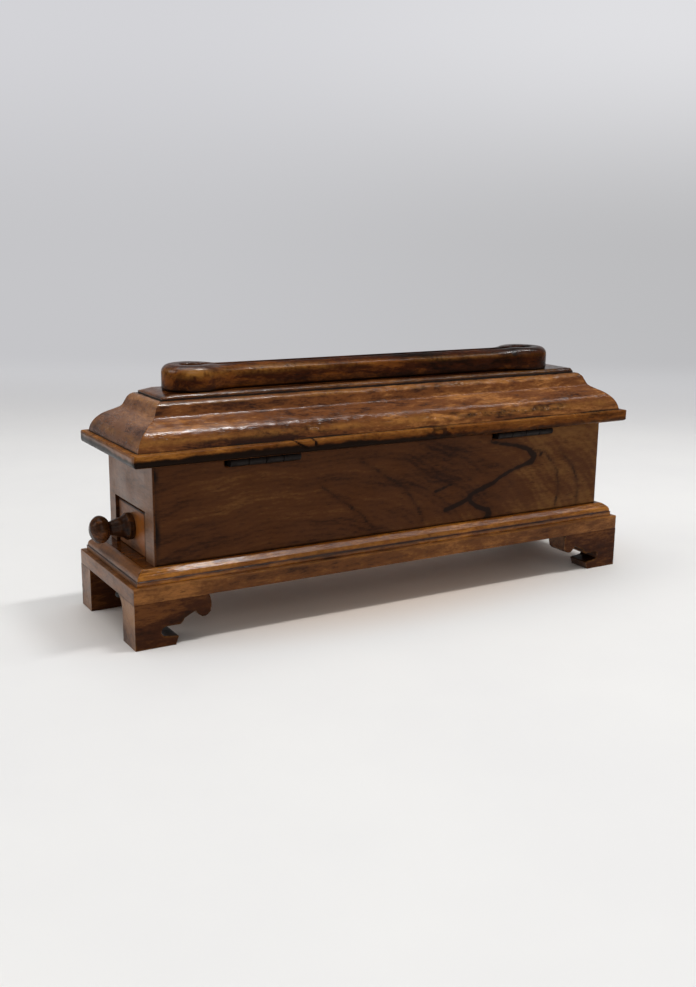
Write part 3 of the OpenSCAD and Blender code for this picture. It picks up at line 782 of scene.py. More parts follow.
@dataclass
class Plinth(Assembly):
    """The moulded base: a board with ovolo strips mitred round its top, on four scroll feet."""

    step: float = 1.5 * MM
    board_step: float = 3.0 * MM
    board_corner: float = 0.45 * MM
    wobble: float = 0.14 * MM
    foot_net: float = 0.5 * MM
    foot_seam: float = 1.1 * MM
    strip_width: float = 5.3
    quirk_height: float = 2.4
    ovolo_radius: float = 4.9
    flat_lean: float = math.radians(40.7)
    flat_half: float = math.radians(20.0)
    notch_x: float = 122.0
    notch_z: float = 11.0

    def board(self) -> None:
        """Makes the plinth board, whose edge is the band over the feet."""
        lo, hi, piece = self.start("plinth_board", "worn")
        half_way = (lo.z + hi.z) / 2
        piece.round_edges(self.board_corner, lambda middle, _: (
            middle.z > hi.z - 0.1 * MM or abs(middle.z - half_way) < MM))
        piece.cut(0, steps(lo.x, hi.x, self.board_step)).cut(1, steps(lo.y, hi.y, self.board_step))
        piece.cut(2, [lo.z + 0.2 * MM, lo.z + 0.5 * MM, lo.z + 3.0 * MM, hi.z - 1.2 * MM, hi.z - 0.8 * MM])

        def wear(place: Vector, normal: Vector) -> Vector:
            """Moves the upper arris in, where it is rubbed."""
            edge = ramp(place.z, hi.z - 0.6 * MM, hi.z - 0.1 * MM)
            flat = Vector((normal.x, normal.y, 0.0))
            return -abs(grain_noise(place, 120.0)) * 0.2 * MM * edge * flat

        piece.push(wear)
        piece.paint("crevice", lambda place, normal: 0.2 * (1.0 - ramp(place.z, lo.z, lo.z + 0.4 * MM)))
        # Painted highlight along the upper arris.
        piece.paint("worn", lambda place, normal: 0.45 * bump(place.z, hi.z - 0.4 * MM, 0.6 * MM))
        piece.place(BAND_WALNUT, "box", "walnut_light", ["plinth_board"], ends=BASE_END_WALNUT)

    def moulding(self, side: Side) -> None:
        """Makes one ovolo strip.

        Args:
            side: Side of the base.
        """
        node = f"base_moulding_{side.suffix}"
        piece, section = self.start_strip(node, side, self.step)
        piece.cut(2, [section.lo.z + up * MM for up in (0.3, 1.2, 2.1, 2.6, 3.2, 4.0, 4.8)])

        def wear(place: Vector, normal: Vector) -> Vector:
            """Moves the round in, to a worn flat where the light glints."""
            inward, up = section.at(place)
            free = ramp(up, 0.0, 0.4) * (1.0 - ramp(inward, 4.6, 5.2))
            out, over = self.strip_width - inward, up - self.quirk_height
            lean = math.atan2(out, over) - self.flat_lean
            flat = 0.0
            if over > 0.1 and abs(lean) < self.flat_half:
                chord = self.ovolo_radius * math.cos(self.flat_half)
                flat = max(math.hypot(out, over) * math.cos(lean) - chord, 0.0) * MM
            return -(abs(grain_noise(place, 85.0)) * self.wobble * free + flat) * normal

        def quirk(up: float) -> float:
            """Returns 1 in the quirk line under the round, falling to 0 beside it."""
            return bump(up, self.quirk_height, 0.75)

        def dirt(place: Vector, _: Vector) -> float:
            """Returns the painted shade in the quirk, at the foot and behind the strip."""
            inward, up = section.at(place)
            patchy = ramp(grain_noise(place, 130.0, 21.0), -0.35, 0.35)
            line = quirk(up) * (0.45 + 0.5 * patchy)
            foot = 1.0 - ramp(up, 0.0, 0.35)
            top = ramp(inward, 4.9, self.strip_width)
            return max(0.5 * line, 0.7 * foot, 0.7 * top)

        def tone(place: Vector, _: Vector) -> float:
            """Returns the painted shade of the quirk."""
            return -0.4 * quirk(section.at(place)[1])

        def shine(place: Vector, _: Vector) -> float:
            """Returns how far the rounds are lightened towards the golden colour."""
            up = section.at(place)[1]
            if side is Side.DRAWER_END:
                return 0.85 * ramp(up, 4.8, 6.4)
            return max(0.7 * bump(up, 4.0, 1.6), 0.5 * bump(up, 1.5, 0.8))

        piece.push(wear).paint("crevice", dirt).paint("worn", shine).paint("tone", tone)
        piece.place(BASE_WALNUT if side.runs_along_x else BASE_END_WALNUT, "box", "walnut_light", [node])

    def foot(self, node: str) -> None:
        """Makes one foot, with its hand-cut scroll and notch.

        Args:
            node: Node of the foot.
        """
        lo, hi, piece = self.start(node, "carved", flat=False)
        piece.remesh(self.foot_net)

        def carve(place: Vector, normal: Vector) -> Vector:
            """Moves the sawn faces in by a hair, except at the sole and the top."""
            if place.z > hi.z - 0.6 * MM or place.z < lo.z + 0.4 * MM:
                return STILL
            return -abs(grain_noise(place, 200.0)) * self.wobble * normal

        piece.push(carve).paint_form(worn_gain=1.4, crevice_gain=1.6)
        worn, crevice = piece.layer("worn"), piece.layer("crevice")
        for vert in piece.bm.verts:
            if vert.co.z > hi.z - self.foot_seam:
                vert[worn] = 0.0
                vert[crevice] = 0.16 if abs(vert.normal.y) > 0.6 else 0.3
            else:
                vert[worn] = min(vert[worn], 0.4)
                vert[crevice] = min(vert[crevice], 0.2)
        outer = -1.0 if lo.x < 0.0 else 1.0

        def stain(place: Vector, normal: Vector) -> float:
            """Returns the tone: paler towards the top, painted shade on the sawn faces, and dark round the
            notch.
            """
            edge = 1.0 - ramp(abs(normal.y), 0.3, 0.8)
            across = (abs(place.x) / MM - self.notch_x) / 1.2
            reach = math.hypot(across, place.z / MM - self.notch_z) + 2.0 * grain_noise(place, 150.0, 3.0)
            rise = 0.14 * ramp(place.z / MM, 8.0, 22.0) - 0.07
            sawn = 0.0 if normal.x * outer > 0.8 else 0.3 * edge
            return rise - sawn - 0.28 * bump(reach, 0.0, 8.0) * (1.0 - edge)

        piece.paint("tone", stain)
        keep_in(piece, lo, hi)
        piece.place(FOOT_WALNUT, "box", "walnut_light", [node], smooth_angle=60.0, ends=FOOT_END_WALNUT)

    def build(self) -> None:
        """Makes the whole base."""
        self.board()
        for side in Side:
            self.moulding(side)
        for name in self.nodes:
            if name.startswith("foot_"):
                self.foot(name)


def keep_in(piece: Piece, lo: Vector, hi: Vector) -> None:
    """Keeps each corner of a piece inside a box."""
    piece.push(lambda place, _: Vector([min(max(place[i], lo[i]), hi[i]) - place[i] for i in range(3)]))


@dataclass(frozen=True)
class Stroke:
    """A dark line of figure on a board's face: x, z and half width of each point, in millimetres."""

    points: tuple[tuple[float, float, float], ...]

    def reach(self, x: float, z: float) -> float:
        """Returns how far inside the stroke a place is, in millimetres, negative outside."""
        best = -9.0
        for (ax, az, aw), (bx, bz, bw) in zip(self.points, self.points[1:]):
            run_x, run_z = bx - ax, bz - az
            share = ((x - ax) * run_x + (z - az) * run_z) / (run_x * run_x + run_z * run_z)
            share = min(max(share, 0.0), 1.0)
            gap = math.hypot(x - ax - share * run_x, z - az - share * run_z)
            best = max(best, aw + (bw - aw) * share - gap)
        return best


VEIN = (
    Stroke(((60.5, 80.9, 0.5), (68.2, 79.1, 0.6), (77.4, 77.7, 0.7), (86.9, 74.6, 1.0), (91.5, 70.2, 1.7),
            (90.2, 67.4, 1.4), (82.4, 65.3, 0.7), (74.7, 63.1, 0.6), (69.2, 60.8, 0.7), (63.1, 57.5, 0.9),
            (56.3, 55.3, 1.1), (49.5, 53.2, 0.9), (46.9, 51.2, 0.9), (47.7, 48.3, 0.8), (53.3, 44.8, 0.9),
            (60.4, 42.3, 1.2), (61.2, 39.9, 1.6), (58.6, 36.7, 1.5))),
    Stroke(((46.9, 50.4, 0.7), (40.2, 48.0, 1.1), (34.9, 46.4, 1.2), (31.0, 45.7, 0.8))),
    Stroke(((24.0, 56.6, 0.5), (35.1, 59.8, 0.2))),
    Stroke(((96.2, 70.2, 0.5), (97.0, 71.6, 0.4))),
)

SOFT_LINES = (
    Stroke(((-23.0, 78.1, 0.3), (-11.3, 71.1, 0.3), (2.0, 62.2, 0.4), (9.1, 54.9, 0.3), (13.9, 47.7, 0.3),
            (16.0, 41.9, 0.1))),
    Stroke(((-45.9, 66.8, 0.1), (-32.3, 56.9, 0.3), (-22.5, 49.3, 0.3), (-12.5, 39.4, 0.1))),
    Stroke(((81.0, 76.8, 0.0), (99.4, 71.8, 0.2), (109.1, 60.3, 0.3), (110.7, 48.3, 0.2),
            (107.8, 35.5, 0.0))),
    Stroke(((110.5, 71.9, 0.0), (120.2, 62.2, 0.2), (125.8, 49.7, 0.2), (124.4, 37.8, 0.0))),
)


@dataclass
class Carcase(Assembly):
    """The box: side boards, ends and the compartment floor."""

    face_step: float = 1.3 * MM
    corner: float = 1.0 * MM
    arris: float = 0.35 * MM
    skin: float = 0.1 * MM
    no_vein: float = -9.0

    def side_board(self) -> None:
        """Makes the figured board on the hinge side."""
        name = "hinge_side_board"
        lo, hi, piece = self.start(name, "figured")
        piece.round_edges(self.corner, lambda middle, run: (
            abs(run.z) > FACING and middle.y < lo.y + self.skin
            and (middle.x < lo.x + MM or middle.x > hi.x - MM)))
        piece.cut(1, [lo.y + self.corner + self.skin])

        def on_face(face: bmesh.types.BMFace) -> bool:
            """Returns whether a face lies on the board's outer side."""
            return face.normal.y < -FACING and face.calc_center_median().y < lo.y + self.skin

        piece.cut(2, steps(lo.z, hi.z, self.face_step), on_face)
        piece.cut(0, steps(lo.x, hi.x, self.face_step), on_face)

        def vein(place: Vector, _: Vector) -> float:
            """Returns how far inside a dark line of the figure a corner is."""
            if place.y > lo.y + 0.5 * MM:
                return self.no_vein
            x, z = place.x / MM, place.z / MM
            soft = max(stroke.reach(x, z) for stroke in SOFT_LINES)
            return max(max(stroke.reach(x, z) for stroke in VEIN), min(soft + 0.7, 0.0) - 0.38)

        def tone(place: Vector, _: Vector) -> float:
            """Returns the tone of the board's broad clouds."""
            x, z = place.x / MM, place.z / MM
            right = 0.20 * ramp(x, 60.0, 105.0)
            dark_cloud = -0.13 * spot((x - 26.0) / 1.6, z - 76.0, 26.0)
            left_low = 0.12 * spot((x + 75.0) / 2.2, z - 56.0, 24.0)
            return right + dark_cloud + left_low

        def stains(place: Vector, _: Vector) -> float:
            """Returns the dark stain marks down the left edge, and painted shade under the lid and along the
            base.
            """
            x, z = place.x / MM, place.z / MM
            if place.y > lo.y + 0.6 * MM or abs(x) > 141.0 or x < -135.6:
                return 0.0
            edge = 1.0 - ramp(x, -135.3, -131.0)
            marks = 0.5 + 0.5 * max(bump(z, 80.5, 5.0), bump(z, 54.0, 12.0))
            under_lid = ramp(z, 83.5, 86.7)
            at_foot = 1.0 - ramp(z, 37.5, 38.6)
            return max(0.75 * edge * marks, 0.45 * under_lid, 0.6 * at_foot)

        piece.paint("vein", vein).paint("tone", tone).paint("crevice", stains)
        piece.place(SIDE_WALNUT, "box", "walnut", [name], ends=END_WALNUT)

    def boards(self) -> None:
        """Makes the plain boards."""
        for name, finish, ends, slot in (
            ("front_board", CARCASE_WALNUT, END_WALNUT, "walnut"),
            ("closed_end_board", END_WALNUT, None, "walnut"),
            ("drawer_end_panel", END_WALNUT, None, "walnut"),
            ("bottom_board", BASE_WALNUT, BASE_END_WALNUT, "walnut_light"),
            ("compartment_floor", INSIDE_WALNUT, None, "walnut_inside"),
        ):
            lo, hi, piece = self.start(name, "planed")
            if name == "bottom_board":
                piece.paint("tone", lambda place, _: -0.18)
            if name == "front_board":
                piece.round_edges(self.corner, lambda middle, run: (
                    abs(run.z) > FACING and middle.y > hi.y - self.skin))
                piece.cut(1, [hi.y - self.corner - self.skin])
            if name == "drawer_end_panel":
                piece.round_edges(self.arris, lambda middle, _: (
                    middle.z < lo.z + self.skin and middle.x < lo.x + self.skin))
            piece.place(finish, "box", slot, [name], ends=ends)

    def build(self) -> None:
        """Makes the whole carcase."""
        self.side_board()
        self.boards()


@dataclass
class Drawer(Assembly):
    """The drawer and its turned knob."""

    arris: float = 0.5 * MM
    knob_net: float = 0.35 * MM
    face_step: float = 1.5 * MM
    rim: float = 0.6 * MM
    rub_centre: tuple[float, float] = (-13.0, 48.0)
    rub_half: float = 15.0

    def front(self) -> None:
        """Makes the drawer's front, rubbed to a warm orange beside the knob."""
        name = "drawer_front"
        lo, hi, piece = self.start(name, "planed")

        def outer(face: bmesh.types.BMFace) -> bool:
            """Returns whether a face lies on the front's outer side."""
            return face.normal.x < -FACING

        for axis in (1, 2):
            piece.cut(axis, steps(lo[axis], hi[axis], self.face_step), outer)
        piece.cut(0, [lo.x + self.rim])
        for axis in (1, 2):
            piece.cut(axis, [lo[axis] + self.rim, hi[axis] - self.rim], outer)

        def shade(place: Vector, _: Vector) -> float:
            """Returns the painted shade of the rim and of the part behind the carcase corner, and a faint
            painted shade on its other faces.
            """
            if place.x > lo.x + self.rim / 2:
                return 0.2
            inward = min(place.y - lo.y, hi.y - place.y, hi.z - place.z) / MM
            hidden = 0.55 * (1.0 - ramp(place.y / MM, -15.6, -14.4))
            return max(0.8 * (1.0 - ramp(inward, 0.3, 1.2)), hidden)

        def rubbed(place: Vector, _: Vector) -> float:
            """Returns how far fingers have rubbed the front beside the knob."""
            if place.x > lo.x + MM:
                return 0.0
            y, z = self.rub_centre
            return 4.0 * spot((place.y / MM - y) / 1.1, place.z / MM - z, self.rub_half)

        piece.paint("worn", rubbed).paint("crevice", shade)
        piece.place(DRAWER_WALNUT, "drawer", "walnut", [name], bevel=self.arris)

    def boards(self) -> None:
        """Makes the drawer's other boards."""
        for name in ("drawer_side_hinge_side", "drawer_side_front", "drawer_back", "drawer_bottom"):
            _, _, piece = self.start(name, "planed")
            piece.place(INSIDE_WALNUT, "drawer", "walnut_inside", [name], bevel=self.arris / 2)

    def knob(self) -> None:
        """Turns the knob."""
        lo, hi, piece = self.start("drawer_knob", "turned", flat=False)
        piece.remesh(self.knob_net)
        piece.push(lambda place, normal: -abs(grain_noise(place, 260.0)) * 0.25 * MM * normal)
        piece.paint_form(worn_gain=1.5, crevice_gain=1.5)
        keep_in(piece, lo, hi)
        piece.place(KNOB_WALNUT, "drawer", "walnut_dark", ["drawer_knob"], smooth_angle=60.0)

    def build(self) -> None:
        """Makes the whole drawer."""
        self.front()
        self.boards()
        self.knob()


@dataclass(frozen=True)
class Nick:
    """A nick or crack in an edge: its place along X, width, depth and lean, in millimetres."""

    x: float
    width: float
    depth: float
    lean: float = 0.0

    def share(self, x: float, up: float) -> float:
        """Returns how deep the nick is at a place, from 0 to 1."""
        return bump(x - self.x - self.lean * up, 0.0, self.width)


PLATE_NICKS = (
    Nick(-65.6, 1.2, 1.5, -1.6), Nick(-55.0, 1.1, 1.2, -0.5), Nick(-96.5, 1.0, 0.5), Nick(-86.1, 1.0, 0.5),
    Nick(9.9, 2.6, 0.55, 0.4), Nick(16.5, 2.2, 0.5, -0.3), Nick(25.7, 2.4, 0.55, 0.2), Nick(-20.0, 0.8, 0.3),
    Nick(60.0, 0.9, 0.3), Nick(118.0, 1.0, 0.3),
)


@dataclass
class Lid(Assembly):
    """The hinged lid: a plate, a cyma frame, a cap board and the slot's collar."""

    step: float = 1.2 * MM
    wobble: float = 0.30 * MM
    section_step: float = 0.9 * MM
    edge_band: float = 3.0 * MM
    belly_height: float = 4.4
    collar_net: float = 0.6 * MM
    bar_half: float = 8.2
    bar_height: float = 12.5
    bar_crown: float = 10.75
    lobe_half: float = 14.8
    lobe_middle: float = 103.1
    lobe_shoulder: float = 8.5
    lobe_round: float = 4.0
    flare_start: float = 76.0
    flare_end: float = 96.5
    flare_half: float = 13.2
    slot_reach: float = 106.0
    dent_x: float = 90.6
    dent_z: float = 126.2

    @staticmethod
    def strip_share(x: float) -> float:
        """Returns how far the rough strip along the swell has set in at a place, from 0 to 1."""
        return ramp(x, 5.0, 20.0) * (1.0 - ramp(x, 100.0, 118.0))

    def plate(self) -> None:
        """Makes the lid plate, with its golden edge and nicked arris."""
        lo, hi, piece = self.start("lid_plate", "worn")
        piece.cut(0, steps(lo.x, hi.x, self.step)).cut(1, steps(lo.y, hi.y, self.step * 2))
        piece.cut(2, [lo.z + up * MM for up in (0.8, 1.6, 2.4, 3.2, 4.0, 4.7)])

        def wear(place: Vector, normal: Vector) -> Vector:
            """Moves the edge in, with its nicks and cracks on the hinge side."""
            flat = Vector((normal.x, normal.y, 0.0))
            if flat.length < 0.2:
                return STILL
            edge = grain_noise(place, 70.0) * 0.5 + grain_noise(place, 260.0, 3.0) * 0.5
            depth = abs(edge) * self.wobble
            if place.y < lo.y + self.edge_band:
                up = (place.z - hi.z) / MM
                top = ramp(up, -5.2, -3.0)
                depth += max(n.depth * n.share(place.x / MM, up) for n in PLATE_NICKS) * top * MM
            return -depth * flat

        def dirt(place: Vector, normal: Vector) -> float:
            """Returns the painted shade in the nicks, round the frame and along the edge's lower part."""
            if normal.z < -FACING:
                return 0.0
            up = (place.z - lo.z) / MM
            nick = 0.0
            if place.y < lo.y + self.edge_band:
                down = (place.z - hi.z) / MM
                nick = max(n.share(place.x / MM, down) for n in PLATE_NICKS if n.depth > 0.6)
            if up > 6.3:
                inward = min(place.x - lo.x, hi.x - place.x, place.y - lo.y, hi.y - place.y) / MM
                return max(0.95 * ramp(inward, 2.6, 3.2), nick)
            left = 1.0 - ramp(place.x / MM, -40.0, 60.0)
            edge = 1.3 * grain_noise(place, 60.0, 7.0) + 0.7 * grain_noise(place, 210.0, 8.0)
            low = 1.0 - ramp(up + edge, 1.8 + 0.8 * left, 4.4 + 1.2 * left)
            return max(low * (0.5 + 0.35 * left), nick)

        def shine(place: Vector, normal: Vector) -> float:
            """Returns the painted light of the edge: golden, most of all at the left, with a painted
            highlight on its upper arris.
            """
            if normal.z < -FACING:
                return 0.0
            up = (place.z - lo.z) / MM
            left = 1.0 - ramp(place.x / MM, -60.0, 40.0)
            golden = (0.22 + 0.2 * left) * ramp(up, 3.0 + 1.0 * left, 5.2 + 0.6 * left)
            return max(golden, 0.6 * bump(up, 6.5, 0.9))

        def chipped(place: Vector, normal: Vector) -> float:
            """Returns the dark tone of the chipped patch, and of the underside."""
            if normal.z < -FACING:
                return -0.1
            patch = spot((place.x / MM - 20.0) / 3.0, (place.z - hi.z) / MM + 2.0, 5.5)
            return -0.5 * patch * ramp(grain_noise(place, 330.0, 2.0), -0.2, 0.2)

        piece.push(wear).paint("crevice", dirt).paint("worn", shine).paint("tone", chipped)
        piece.place(PLATE_WALNUT, "lid", "walnut", ["lid_plate"], ends=PLATE_END_WALNUT)

    def moulding(self, side: Side) -> None:
        """Makes one side of the cyma frame.

        Args:
            side: Side of the lid.
        """
        node = f"lid_moulding_{side.suffix}"
        piece, section = self.start_strip(node, side, self.step)
        piece.cut(2, steps(section.lo.z, section.hi.z, self.section_step))

        def wear(place: Vector, normal: Vector) -> Vector:
            """Moves the section in, unevenly, and torn along the rough strips of the hinge side."""
            inward, up = section.at(place)
            if up < 0.05 or inward > 19.0 and up < 20.0:
                return STILL
            depth = abs(grain_noise(place, 75.0)) * self.wobble
            depth += abs(grain_noise(place, 210.0, 5.0)) * 0.1 * MM
            if side is Side.HINGE_SIDE:
                x = place.x / MM
                low = bump(up, self.belly_height, 3.4) * self.strip_share(x)
                head = bump(up, 19.5, 2.0) * ramp(x, -30.0, 10.0)
                torn = grain_noise(Vector((place.x * 0.4, place.y, place.z)), 480.0, 9.0)
                depth += (low + head) * abs(torn) * 0.8 * MM
            return -depth * ramp(up, 0.0, 1.0) * normal

        def dirt(place: Vector, _: Vector) -> float:
            """Returns the painted shade at the foot, in the hollow and behind the bead."""
            inward, up = section.at(place)
            patchy = ramp(grain_noise(place, 45.0, 11.0), -0.2, 0.5)
            foot = (0.5 + 0.4 * patchy) * (1.0 - ramp(up, 0.1, 0.9 + 0.5 * patchy))
            hollow = 0.30 * patchy * spot(inward - 14.0, up - 15.6, 1.8)
            ledge = 0.9 * ramp(inward, 18.2, 19.0)
            return max(foot, hollow, ledge)

        def scars(place: Vector, _: Vector) -> float:
            """Returns the tone of the torn strips, pale with dark pits."""
            if side is not Side.HINGE_SIDE:
                return 0.0
            x, up = place.x / MM, section.at(place)[1]
            strip = bump(up, self.belly_height, 3.6) * self.strip_share(x)
            pits = grain_noise(Vector((place.x * 0.35, place.y, place.z)), 420.0, 9.0)
            bead = 0.5 * bump(up, 18.6, 1.6) * ramp(x, -30.0, 10.0)
            left = 0.1 * ramp(x, 40.0, 90.0) - 0.11 * (1.0 - ramp(x, -60.0, 20.0))
            return left + 0.45 * max(strip, bead) * (0.45 * ramp(pits, -0.15, -0.5) - ramp(pits, -0.1, 0.25))

        def shine(place: Vector, _: Vector) -> float:
            """Returns how far the swell and the bead are lightened towards the golden colour."""
            up = section.at(place)[1]
            return 0.75 * max(bump(up, self.belly_height, 2.8), bump(up, 19.3, 1.6))

        piece.push(wear).paint("crevice", dirt).paint("worn", shine).paint("tone", scars)
        piece.place(LID_WALNUT if side.runs_along_x else LID_END_WALNUT, "lid", "walnut_light", [node])

    def cap(self) -> None:
        """Makes the cap board, with a pale arris over its dark edge."""
        lo, hi, piece = self.start("lid_cap_board", "worn")
        piece.cut(0, steps(lo.x, hi.x, self.step * 2)).cut(1, steps(lo.y, hi.y, self.step * 2))
        piece.cut(2, [hi.z - depth * MM for depth in (2.5, 2.1, 1.7, 1.3)])

        def dirt(place: Vector, _: Vector) -> float:
            """Returns the painted shade on the edge under the arris."""
            return 0.95 * (1.0 - ramp((place.z - hi.z) / MM, -2.4, -1.3))

        def shine(place: Vector, _: Vector) -> float:
            """Returns the painted highlight along the long arrises."""
            inward = min(place.y - lo.y, hi.y - place.y) / MM
            return 0.8 * bump((place.z - hi.z) / MM, -0.6, 1.2) * (1.0 - ramp(inward, 1.4, 3.0))

        piece.paint("crevice", dirt).paint("worn", shine).paint("tone", lambda place, normal: -0.24)
        piece.place(LID_WALNUT, "lid", "walnut", ["lid_cap_board"], ends=LID_END_WALNUT)

    def collar(self) -> None:
        """Makes the collar round the slot, with its soft hand-shaped arrises."""
        lo, hi, piece = self.start("slot_collar", "carved", flat=False)
        piece.remesh(self.collar_net, smooth=2)
        middle = (lo.y + hi.y) / 2

        def flare_share(along: float) -> float:
            """Returns how far the waist has flared at a place, from 0 at the bar to 1 at the lobe."""
            return ((along - self.flare_start) / (self.flare_end - self.flare_start)) ** 2

        def in_flare(along: float, out: float) -> bool:
            """Returns whether a place is on the outer part of the waist."""
            return self.flare_start < along < self.flare_end and out >= self.lobe_round

        def flare(place: Vector, _: Vector) -> Vector:
            """Moves the waist out, so that the bar widens into its lobe."""
            along, out = abs(place.x) / MM, (place.y - middle) / MM
            if not in_flare(along, abs(out)):
                return STILL
            wanted = self.bar_half + (self.flare_half - self.bar_half) * flare_share(along)
            disc = math.sqrt(max(self.lobe_half ** 2 - (self.lobe_middle - along) ** 2, 0.0))
            here = max(self.bar_half, disc)
            return Vector((0.0, (max(wanted / here, 1.0) - 1.0) * out * MM, 0.0))

        def lift(place: Vector, normal: Vector) -> Vector:
            """Moves the waist's top up, from the bar's crown to the lobe's shoulder."""
            along, out = abs(place.x) / MM, abs(place.y - middle) / MM
            up = (place.z - lo.z) / MM
            if not in_flare(along, out) or up < 7.5 or normal.z < 0.25:
                return STILL
            share = flare_share(along)
            half = self.bar_half + (self.flare_half - self.bar_half) * share
            reach = min(out / half, 1.0) * self.bar_half
            crown = self.bar_height - self.bar_crown + math.sqrt(max(self.bar_crown ** 2 - reach ** 2, 0.0))
            past = max(out - half + self.lobe_round, 0.0)
            shoulder = self.lobe_shoulder + math.sqrt(max(self.lobe_round ** 2 - past ** 2, 0.0))
            wanted = crown + (shoulder - crown) * share
            return Vector((0.0, 0.0, max(wanted - up, 0.0) * MM))

        piece.push(flare).push(lift)
        near_lobe = [v for v in piece.bm.verts if 74.0 * MM < abs(v.co.x) < 99.0 * MM
                     and abs(v.co.y - middle) > 3.4 * MM and v.co.z > lo.z + 0.4 * MM]
        piece.relax(near_lobe, 12)

        def dirt(place: Vector, _: Vector) -> float:
            """Returns the painted shade round the foot, in the waist, in the slot and in the dent."""
            x, up = place.x / MM, (place.z - lo.z) / MM
            foot = max(1.0 - ramp(up, 0.3, 1.6), 0.4 * (1.0 - ramp(up, 2.0, 6.5)))
            waist = 0.42 * bump(abs(x), 93.0, 5.5) * (1.0 - ramp(up, 5.0, 9.5))
            inside, dent = 0.0, 0.0
            if abs(x) < self.slot_reach:
                wall = 1.0 - ramp(abs(place.y - middle) / MM, 2.6, 3.0)
                inside = 0.95 * wall * (1.0 - ramp(up, 9.0, 12.0))
            if place.y < middle:
                dent = spot(x - self.dent_x, place.z / MM - self.dent_z, 2.6)
            return max(foot, waist, inside, dent)

        def shine(place: Vector, normal: Vector) -> float:
            """Returns the painted highlight on the arris, golden and strongest on the near lobe."""
            x, up = place.x / MM, (place.z - lo.z) / MM
            left = 1.0 - ramp(x, -80.0, 10.0)
            band = (0.45 + 0.35 * left) * bump(up, 9.0, 2.0 + 1.6 * left)
            if place.y < middle:
                band = max(band, 2.4 * bump(x, -107.0, 13.0) * bump(up, 9.6, 2.6))
            return band * (1.0 - 0.8 * ramp(normal.z, 0.8, 0.95))

        def gleam(place: Vector, normal: Vector) -> float:
            """Returns how well the rounded arrises are polished, best on the near lobe."""
            x = place.x / MM
            lobe = 0.2 + 0.8 * (1.0 - ramp(x, -100.0, -84.0)) + 0.3 * ramp(x, 60.0, 85.0)
            return (1.0 - ramp(normal.z, 0.85, 0.97)) * ramp(normal.z, 0.15, 0.5) * lobe

        def tone(place: Vector, normal: Vector) -> float:
            """Returns the tone: darker on top, at the far lobe and in the hollow of the side."""
            up = (place.z - lo.z) / MM
            hollow = 0.12 * ramp(place.x / MM, -40.0, 60.0) * bump(up, 5.5, 3.5)
            return -0.05 * ramp(normal.z, 0.5, 0.95) - 0.14 * ramp(place.x / MM, 70.0, 95.0) - hollow

        piece.paint("crevice", dirt).paint("worn", shine).paint("gleam", gleam).paint("tone", tone)
        keep_in(piece, lo, hi)
        piece.place(COLLAR_WALNUT, "lid", "walnut_dark", ["slot_collar"], smooth_angle=60.0)

    def build(self) -> None:
        """Makes the whole lid."""
        self.plate()
        for side in Side:
            self.moulding(side)
        self.cap()
        self.collar()


@dataclass
class Hinges(Assembly):
    """Two pairs of steel leaves, their pins and screws."""

    def build(self) -> None:
        """Dresses the hinges' nodes in steel."""
        for name, node in self.nodes.items():
            if "leaf" in name or "pin" in name:
                node.data.materials.clear()
                node.data.materials.append(dressed(HINGE_STEEL))
                log.info("%s: dressed in steel", name)


# ---- Studio ----

FLOOR_DULL = rgba(srgb(234, 234, 234))
FLOOR_BRIGHT = rgba(srgb(238, 238, 237))
FLOOR_FAR = rgba(srgb(198, 198, 200))
FLOOR_BOUNCE_LIGHT = rgba(srgb(240, 224, 210))
FLOOR_EDGE = rgba(srgb(208, 208, 210))
WALL_LOW = (rgba(srgb(197, 197, 200)), rgba(srgb(188, 188, 190)))
WALL_HIGH = (rgba(srgb(211, 211, 215)), rgba(srgb(224, 224, 227)))


@dataclass(frozen=True)
class Softbox:
    """A lamp: its name, place, aim, width along X, power in watts, and depth where it isn't square."""

    name: str
    place: tuple[float, float, float]
    aim: tuple[float, float, float]
    width: float
    power: float
    depth: float = 0.0


